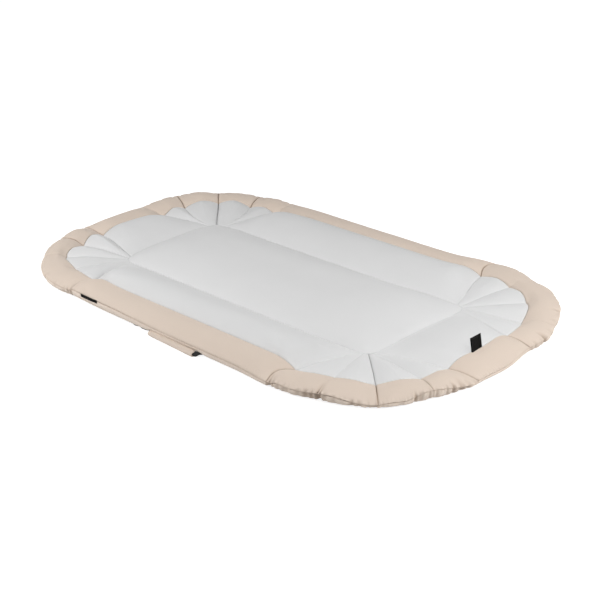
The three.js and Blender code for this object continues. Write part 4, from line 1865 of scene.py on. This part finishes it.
class Nodes:
    """A node tree, built one call at a time."""

    def __init__(self, tree: bpy.types.NodeTree) -> None:
        """Take the tree that the nodes go into."""
        self.tree = tree

    def add(self, kind: str, inputs: dict | None = None, **options: object) -> bpy.types.Node:
        """Add a node.

        Args:
            kind: The node's type.
            inputs: Values or sockets for its inputs, by name or number.
            options: The node's own settings.

        Returns:
            The node.
        """
        node = self.tree.nodes.new(kind)
        for key, value in options.items():
            setattr(node, key, value)
        for key, value in (inputs or {}).items():
            if isinstance(value, bpy.types.NodeSocket):
                self.tree.links.new(value, node.inputs[key])
            else:
                node.inputs[key].default_value = value
        return node

    def math(self, operation: str, *values: object) -> bpy.types.NodeSocket:
        """Add a math node and give its result."""
        return self.add("ShaderNodeMath", dict(enumerate(values)), operation=operation).outputs[0]

    def times(self, *values: object) -> bpy.types.NodeSocket:
        """Multiply two values."""
        return self.math("MULTIPLY", *values)

    def wave(self, place: object, rate: object) -> bpy.types.NodeSocket:
        """The sine of a place times a rate."""
        return self.math("SINE", self.times(place, rate))

    def mix(self, share: object, first: object, second: object) -> bpy.types.NodeSocket:
        """Mix two colours by a share."""
        node = self.add("ShaderNodeMix", {0: share, 6: first, 7: second}, data_type="RGBA")
        return node.outputs[2]

    def spread(self, value: bpy.types.NodeSocket, low: float, high: float) -> bpy.types.NodeSocket:
        """Map a value from 0..1 to low..high."""
        return self.add("ShaderNodeMapRange", {0: value, 3: low, 4: high}).outputs[0]


class ClothNodes(Nodes):
    """A cloth material's node tree, with the places that its patterns follow."""

    def __init__(self, name: str) -> None:
        """Start a material with its shader, its cloth coordinates and its place in space.

        Args:
            name: The material's name.
        """
        self.material = bpy.data.materials.new(name)
        self.material.use_nodes = True
        super().__init__(self.material.node_tree)
        self.shader = self.tree.nodes["Principled BSDF"]
        self.cloth = self.add("ShaderNodeUVMap", uv_map="cloth").outputs[0]
        self.place = self.add("ShaderNodeTexCoord").outputs["Object"]
        self.across, self.out = self.add("ShaderNodeSeparateXYZ", {0: self.cloth}).outputs[:2]

    def noise(self, vector: bpy.types.NodeSocket, scale: float) -> bpy.types.NodeSocket:
        """Add a noise texture and give its value."""
        inputs = {"Vector": vector, "Scale": scale, "Detail": NOISE_DETAIL}
        return self.add("ShaderNodeTexNoise", inputs).outputs["Fac"]

    def attribute(self, name: str) -> bpy.types.NodeSocket:
        """Read an attribute of the mesh."""
        return self.add("ShaderNodeAttribute", attribute_name=name).outputs["Fac"]

    def pucker(self, depth: float) -> bpy.types.NodeSocket:
        """The small waves that stitches draw into the cloth beside a seam, made uneven by noise.

        Args:
            depth: Depth of the waves.

        Returns:
            Their height.
        """
        drift = self.times(self.noise(self.place, PUCKER_NOISE_SCALE), PUCKER_DRIFT)
        turn = self.math("ADD", self.times(self.across, FULL_TURN / PUCKER_LENGTH), drift)
        return self.times(self.times(self.math("SINE", turn), self.attribute("pucker")), depth)

    def surface(self, colour: bpy.types.NodeSocket, roughness: bpy.types.NodeSocket,
                relief: bpy.types.NodeSocket, depth: float, **shine: float) -> bpy.types.Material:
        """Join colour, roughness and relief to the shader.

        Args:
            colour: The base colour.
            roughness: The roughness.
            relief: A height from 0 to 1.
            depth: The relief's depth in metres.
            shine: Constants for the shader's own sockets, their spaces written as underscores.

        Returns:
            The material.
        """
        bump = self.add("ShaderNodeBump", {"Height": relief, "Distance": depth, "Strength": 1.0})
        joined = {"Base Color": colour, "Roughness": roughness, "Normal": bump.outputs[0]}
        for socket, value in joined.items():
            self.tree.links.new(value, self.shader.inputs[socket])
        for socket, value in shine.items():
            self.shader.inputs[socket.replace("_", " ")].default_value = value
        return self.material


def linear(red: int, green: int, blue: int) -> Colour:
    """Turn a screen colour into the linear one that Blender mixes.

    Args:
        red: Red, from 0 to 255.
        green: Green, likewise.
        blue: Blue, likewise.

    Returns:
        The linear colour, opaque.
    """
    def channel(value: int) -> float:
        """One channel of the colour."""
        share = value / 255
        return share / 12.92 if share <= 0.04045 else ((share + 0.055) / 1.055) ** 2.4
    return (channel(red), channel(green), channel(blue), 1.0)


def darker(colour: Colour, *shares: float) -> Colour:
    """A colour with each channel multiplied by its share."""
    return tuple(share * value for share, value in zip(shares, colour)) + (1.0,)


@dataclass(frozen=True)
class Finish:
    """A finish of the lounger: its material's name, a slot name that nothing here reads, and its two mixed
    colours.
    """

    name: str
    slot: str
    colour: Colour
    shade: Colour

    @property
    def material(self) -> bpy.types.Material:
        """The one material of this finish."""
        return bpy.data.materials.get(self.name) or self.make()

    def make(self) -> bpy.types.Material:
        """Build the material."""
        raise NotImplementedError


@dataclass(frozen=True)
class KnitFinish(Finish):
    """Fine knitted jersey, matt and soft."""

    name: str = "white_jersey"
    slot: str = "lining_jersey"
    colour: Colour = linear(222, 222, 222)
    shade: Colour = linear(216, 216, 216)
    wale: float = 0.0011
    course: float = 0.0009
    depth: float = 0.00012
    pucker: float = 0.00022
    patch_scale: float = 9.0
    fleece_scale: float = 320.0
    # The dark colour that the loops and the painted shade mix towards, and how strong that painted shade is
    dark_share: float = 0.55
    fold_darkness: float = 0.55

    def make(self) -> bpy.types.Material:
        """Build the knit: slanting loops in columns.

        Returns:
            The material.
        """
        nodes = ClothNodes(self.name)
        wale = nodes.math("FRACT", nodes.math("DIVIDE", nodes.across, self.wale))
        lean = nodes.math("ABSOLUTE", nodes.math("SUBTRACT", wale, 0.5))
        loop = nodes.wave(nodes.math("ADD", nodes.math("DIVIDE", nodes.out, self.course), lean), FULL_TURN)
        valley = nodes.math("POWER", nodes.math("SUBTRACT", 0.5, lean), 0.4)
        knit = nodes.times(nodes.spread(loop, 0.55, 1.0), valley)
        knit = nodes.math("ADD", knit, nodes.pucker(self.pucker / self.depth))
        patches = nodes.spread(nodes.noise(nodes.place, self.patch_scale), 0.1, 0.9)
        dark = darker(self.shade, *[self.dark_share] * 3)
        colour = nodes.mix(patches, self.colour, self.shade)
        # Painted shade: darker in the seams, folds and turned hem, by the value the mesh carries
        colour = nodes.mix(nodes.times(nodes.attribute("fold"), self.fold_darkness), colour, dark)
        colour = nodes.mix(nodes.spread(loop, 0.015, 0.0), colour, dark)
        roughness = nodes.spread(nodes.noise(nodes.place, self.fleece_scale), 0.84, 0.96)
        return nodes.surface(colour, roughness, knit, self.depth,
                             Sheen_Weight=0.12, Sheen_Roughness=0.5, Specular_IOR_Level=0.25)


@dataclass(frozen=True)
class TwillFinish(Finish):
    """Brushed cotton twill with its slanting wale."""

    name: str = "beige_twill"
    slot: str = "rim_twill"
    colour: Colour = linear(226, 211, 197)
    shade: Colour = linear(219, 203, 189)
    pitch: float = 0.0011
    yarn: float = 0.0007
    depth: float = 0.00014
    pucker: float = 0.00026
    patch_scale: float = 7.0
    fleck_scale: float = 900.0
    nap_scale: float = 260.0
    # The dark brown that the flecks and the painted shade mix towards, and how strong that painted shade is
    dark_shares: Values = (0.46, 0.39, 0.33)
    fold_darkness: float = 0.75

    def make(self) -> bpy.types.Material:
        """Build the twill: slanting wales, crossed by finer threads.

        Returns:
            The material.
        """
        nodes = ClothNodes(self.name)
        slant = nodes.math("DIVIDE", nodes.math("ADD", nodes.across, nodes.out), self.pitch)
        thread = nodes.math("DIVIDE", nodes.math("SUBTRACT", nodes.out, nodes.across), self.yarn)
        wale, thread = nodes.wave(slant, FULL_TURN), nodes.wave(thread, FULL_TURN)
        weave = nodes.math("ADD", nodes.spread(wale, 0.25, 0.75), nodes.spread(thread, -0.1, 0.25))
        relief = nodes.math("ADD", weave, nodes.pucker(self.pucker / self.depth))
        patches = nodes.spread(nodes.noise(nodes.place, self.patch_scale), 0.15, 0.85)
        flecks = nodes.spread(nodes.times(weave, nodes.noise(nodes.cloth, self.fleck_scale)), 0.11, 0.0)
        dark = darker(self.shade, *self.dark_shares)
        colour = nodes.mix(patches, self.colour, self.shade)
        colour = nodes.mix(flecks, colour, dark)
        # Painted shade: darker in the seams, folds and turned hem, by the value the mesh carries
        colour = nodes.mix(nodes.times(nodes.attribute("fold"), self.fold_darkness), colour, dark)
        roughness = nodes.spread(nodes.noise(nodes.place, self.nap_scale), 0.76, 0.92)
        return nodes.surface(colour, roughness, relief, self.depth,
                             Sheen_Weight=0.10, Sheen_Roughness=0.45, Specular_IOR_Level=0.3)


@dataclass(frozen=True)
class WebbingFinish(Finish):
    """Black ribbed webbing, a little dusty."""

    name: str = "black_webbing"
    slot: str = "black_webbing"
    colour: Colour = linear(13, 12, 12)
    shade: Colour = linear(7, 6, 6)
    dust: Colour = linear(150, 145, 140)
    dust_share: float = 0.015
    dust_scale: float = 60.0
    yarn_scale: float = 500.0
    rib: float = 0.0021
    pick: float = 0.0012
    depth: float = 0.00028

    def make(self) -> bpy.types.Material:
        """Build the webbing: ribs across the strap, crossed by picks.

        Returns:
            The material.
        """
        nodes = ClothNodes(self.name)
        ribs = nodes.wave(nodes.out, FULL_TURN / self.rib)
        picks = nodes.wave(nodes.across, FULL_TURN / self.pick)
        weave = nodes.math("ADD", nodes.spread(ribs, 0.3, 0.8), nodes.times(picks, ribs))
        colour = nodes.mix(nodes.spread(weave, 0.9, 0.0), self.colour, self.shade)
        dust = nodes.times(nodes.noise(nodes.place, self.dust_scale), self.dust_share)
        colour = nodes.mix(dust, colour, self.dust)
        roughness = nodes.spread(nodes.noise(nodes.cloth, self.yarn_scale), 0.55, 0.75)
        return nodes.surface(colour, roughness, weave, self.depth, Specular_IOR_Level=0.12)


@dataclass(frozen=True)
class LabelFinish(Finish):
    """Black woven satin with a thin woven border and nothing else on it."""

    name: str = "black_tag_satin"
    slot: str = "black_label"
    half_width: float = 0.016
    half_height: float = 0.015
    colour: Colour = linear(8, 8, 8)
    shade: Colour = linear(4, 4, 4)
    border: Colour = linear(58, 56, 56)
    border_share: float = 0.75
    border_relief: float = 2.5
    border_inset: float = 0.0022
    border_width: float = 0.0005
    warp: float = 0.0005
    depth: float = 0.00006
    satin_scale: float = 400.0

    def make(self) -> bpy.types.Material:
        """Build the label: fine threads and the border line.

        Returns:
            The material.
        """
        nodes = ClothNodes(self.name)
        threads = nodes.wave(nodes.across, FULL_TURN / self.warp)
        inset = [nodes.math("SUBTRACT", half, nodes.math("ABSOLUTE", socket))
                 for half, socket in ((self.half_width, nodes.across), (self.half_height, nodes.out))]
        off_line = nodes.math("SUBTRACT", nodes.math("MINIMUM", *inset), self.border_inset)
        line = nodes.math("LESS_THAN", nodes.math("ABSOLUTE", off_line), self.border_width / 2)
        colour = nodes.mix(nodes.spread(threads, 0.5, 0.0), self.colour, self.shade)
        colour = nodes.mix(nodes.times(line, self.border_share), colour, self.border)
        relief = nodes.math("ADD", threads, nodes.times(line, self.border_relief))
        roughness = nodes.spread(nodes.noise(nodes.place, self.satin_scale), 0.7, 0.85)
        return nodes.surface(colour, roughness, relief, self.depth, Specular_IOR_Level=0.1)


@dataclass(frozen=True)
class Finishes:
    """All the finishes of the lounger."""

    lining: KnitFinish = KnitFinish()
    rim: TwillFinish = TwillFinish()
    # Painted light: a lighter copy of the rim's twill that offsets the shade under the hem
    underside: TwillFinish = TwillFinish(
        name="beige_underside_twill", slot="underside_twill",
        colour=linear(232, 218, 205), shade=linear(226, 211, 197))
    webbing: WebbingFinish = WebbingFinish()
    tag: LabelFinish = LabelFinish()
    side_label: LabelFinish = LabelFinish("black_label_satin", half_width=0.026, half_height=0.0037)


# Studio


@dataclass
class Studio:
    """A plain pale floor, soft lamps and the camera at the photograph's angle."""

    azimuth: float = 42.645
    elevation: float = 24.413
    distance: float = 2.6106
    target: tuple[float, float, float] = (0.06766, -0.02627, 0.0)
    focal_pixels: float = 1239.68
    picture_pixels: float = 600.0
    sensor: float = 36.0
    clip: Pair = (0.05, 60)
    lamp_distance: float = 1.9
    lamp_elevation: float = 35
    lamp_size: Pair = (0.95, 0.7)
    # Each lamp: name, bearing in degrees from +X towards +Y, power in watts
    lamps: tuple[tuple[str, float, float], ...] = (
        ("right", 0, 18.0), ("back_right", 45, 8.6), ("back_left", 135, 3.2), ("front", -90, 7.9),
        ("front_left", -135, 17.1),
    )
    fill: float = 0.05
    floor_size: float = 40
    floor_drop: float = 0.0004
    floor_white: float = 0.86
    seen_floor_white: float = 0.42
    # The seen floor's glow: where it starts and ends to rise, in metres, and its strength there
    floor_glow: Values = (0.7, 1.6, 0.86, 1.0)

    def aim(self, thing: bpy.types.Object, towards: Vector, distance: float) -> None:
        """Stand a thing off from the origin, facing back.

        Args:
            thing: A camera or a lamp.
            towards: Direction from the origin.
            distance: Distance from it.
        """
        bpy.context.scene.collection.objects.link(thing)
        thing.location = towards * distance
        thing.rotation_mode = "QUATERNION"
        thing.rotation_quaternion = (-towards).to_track_quat("-Z", "Y")

    def make_camera(self) -> None:
        """Put the camera where the photograph was taken from."""
        azimuth, elevation = math.radians(self.azimuth), math.radians(self.elevation)
        level = math.cos(elevation)
        back = Vector((math.sin(azimuth) * level, -math.cos(azimuth) * level, math.sin(elevation)))
        lens = bpy.data.cameras.new("camera")
        lens.sensor_width = self.sensor
        lens.lens = self.focal_pixels / self.picture_pixels * self.sensor
        lens.clip_start, lens.clip_end = self.clip
        camera = bpy.data.objects.new("camera", lens)
        self.aim(camera, back, self.distance)
        camera.location += Vector(self.target)
        bpy.context.scene.camera = camera

    def add_lamp(self, name: str, bearing: float, power: float) -> None:
        """Add one soft lamp that faces the mat.

        Args:
            name: The lamp's name.
            bearing: Where it stands, in degrees from +X towards +Y.
            power: Its power in watts.
        """
        light = bpy.data.lights.new(name, "AREA")
        light.shape = "RECTANGLE"
        light.size, light.size_y = self.lamp_size
        light.energy = power
        lamp = bpy.data.objects.new(name, light)
        turn, lift = math.radians(bearing), math.radians(self.lamp_elevation)
        towards = Vector((math.cos(lift) * math.cos(turn), math.cos(lift) * math.sin(turn), math.sin(lift)))
        self.aim(lamp, towards, self.lamp_distance)
        lamp.visible_camera = False

    def make_world(self) -> None:
        """Soft light from all round, and white behind the object."""
        world = bpy.data.worlds.new("studio")
        bpy.context.scene.world = world
        world.use_nodes = True
        nodes = Nodes(world.node_tree)
        path = nodes.add("ShaderNodeLightPath").outputs
        seen = nodes.math("MAXIMUM", path["Is Camera Ray"], path["Is Glossy Ray"])
        background = nodes.tree.nodes["Background"].inputs
        nodes.tree.links.new(nodes.spread(seen, self.fill, 1.0), background["Strength"])
        background["Color"].default_value = (1, 1, 1, 1)

    def make_floor(self) -> None:
        """A wide white floor that keeps a faint shadow."""
        bpy.ops.object.select_all(action="DESELECT")
        bpy.ops.mesh.primitive_plane_add(size=self.floor_size, location=(0, 0, -self.floor_drop))
        floor = bpy.context.object
        floor.name = "studio_floor"
        material = bpy.data.materials.new("studio_paper")
        material.use_nodes = True
        nodes = Nodes(material.node_tree)
        nodes.tree.nodes.clear()
        paper, seen_paper = (
            nodes.add("ShaderNodeBsdfDiffuse", {"Color": (white, white, white, 1)}).outputs[0]
            for white in (self.floor_white, self.seen_floor_white))
        place = nodes.add("ShaderNodeTexCoord").outputs["Object"]
        away = nodes.add("ShaderNodeVectorMath", {0: place}, operation="LENGTH").outputs["Value"]
        reach = nodes.add("ShaderNodeMapRange", {0: away, **dict(enumerate(self.floor_glow, 1))})
        glow = nodes.add("ShaderNodeEmission", {"Strength": reach.outputs[0]})
        both = nodes.add("ShaderNodeAddShader", {0: seen_paper, 1: glow.outputs[0]})
        seen = nodes.add("ShaderNodeLightPath").outputs["Is Camera Ray"]
        choice = nodes.add("ShaderNodeMixShader", {0: seen, 1: paper, 2: both.outputs[0]})
        nodes.add("ShaderNodeOutputMaterial", {0: choice.outputs[0]})
        floor.data.materials.append(material)

    def build(self) -> None:
        """Set up the whole studio."""
        bpy.context.scene.view_settings.view_transform = "Standard"
        self.make_camera()
        self.make_world()
        self.make_floor()
        for lamp in self.lamps:
            self.add_lamp(*lamp)


def main() -> None:
    """Build the lounger in order and report each piece."""
    logging.basicConfig(level=logging.INFO, format="%(name)s: %(message)s")
    Studio().build()
    plan, form, finishes = MatPlan(), PadForm(), Finishes()
    Mattress(plan, form).build(finishes)
    seeds = itertools.count(FIRST_SEED)
    for side in (*LongSide, *ShortEnd):
        StraightPad(plan=plan, form=form, seed=next(seeds), side=side).build(finishes)
    for side, end in itertools.product(LongSide, ShortEnd):
        FanPad(plan=plan, form=form, seed=next(seeds), side=side, end=end).build(finishes)
    for side in LongSide:
        CarryHandle(side, form).build(finishes)
    SewnLabel("foot_tag_label", "foot_tag", "base", (0.0011, 0.032, 0.031), (0.5080, -0.0155, 0.0425),
              lean=(10.6, "Y"), bow=(9, "Z"), shadow=False).build(finishes.tag)
    SewnLabel("side_name_label", "side_label", "side_near", (0.052, 0.0010, 0.0074),
              (-0.227, -0.3520, 0.0212), lean=(-8, "X"), bow=(4, "Z")).build(finishes.side_label)


if __name__ == "__main__":
    main()
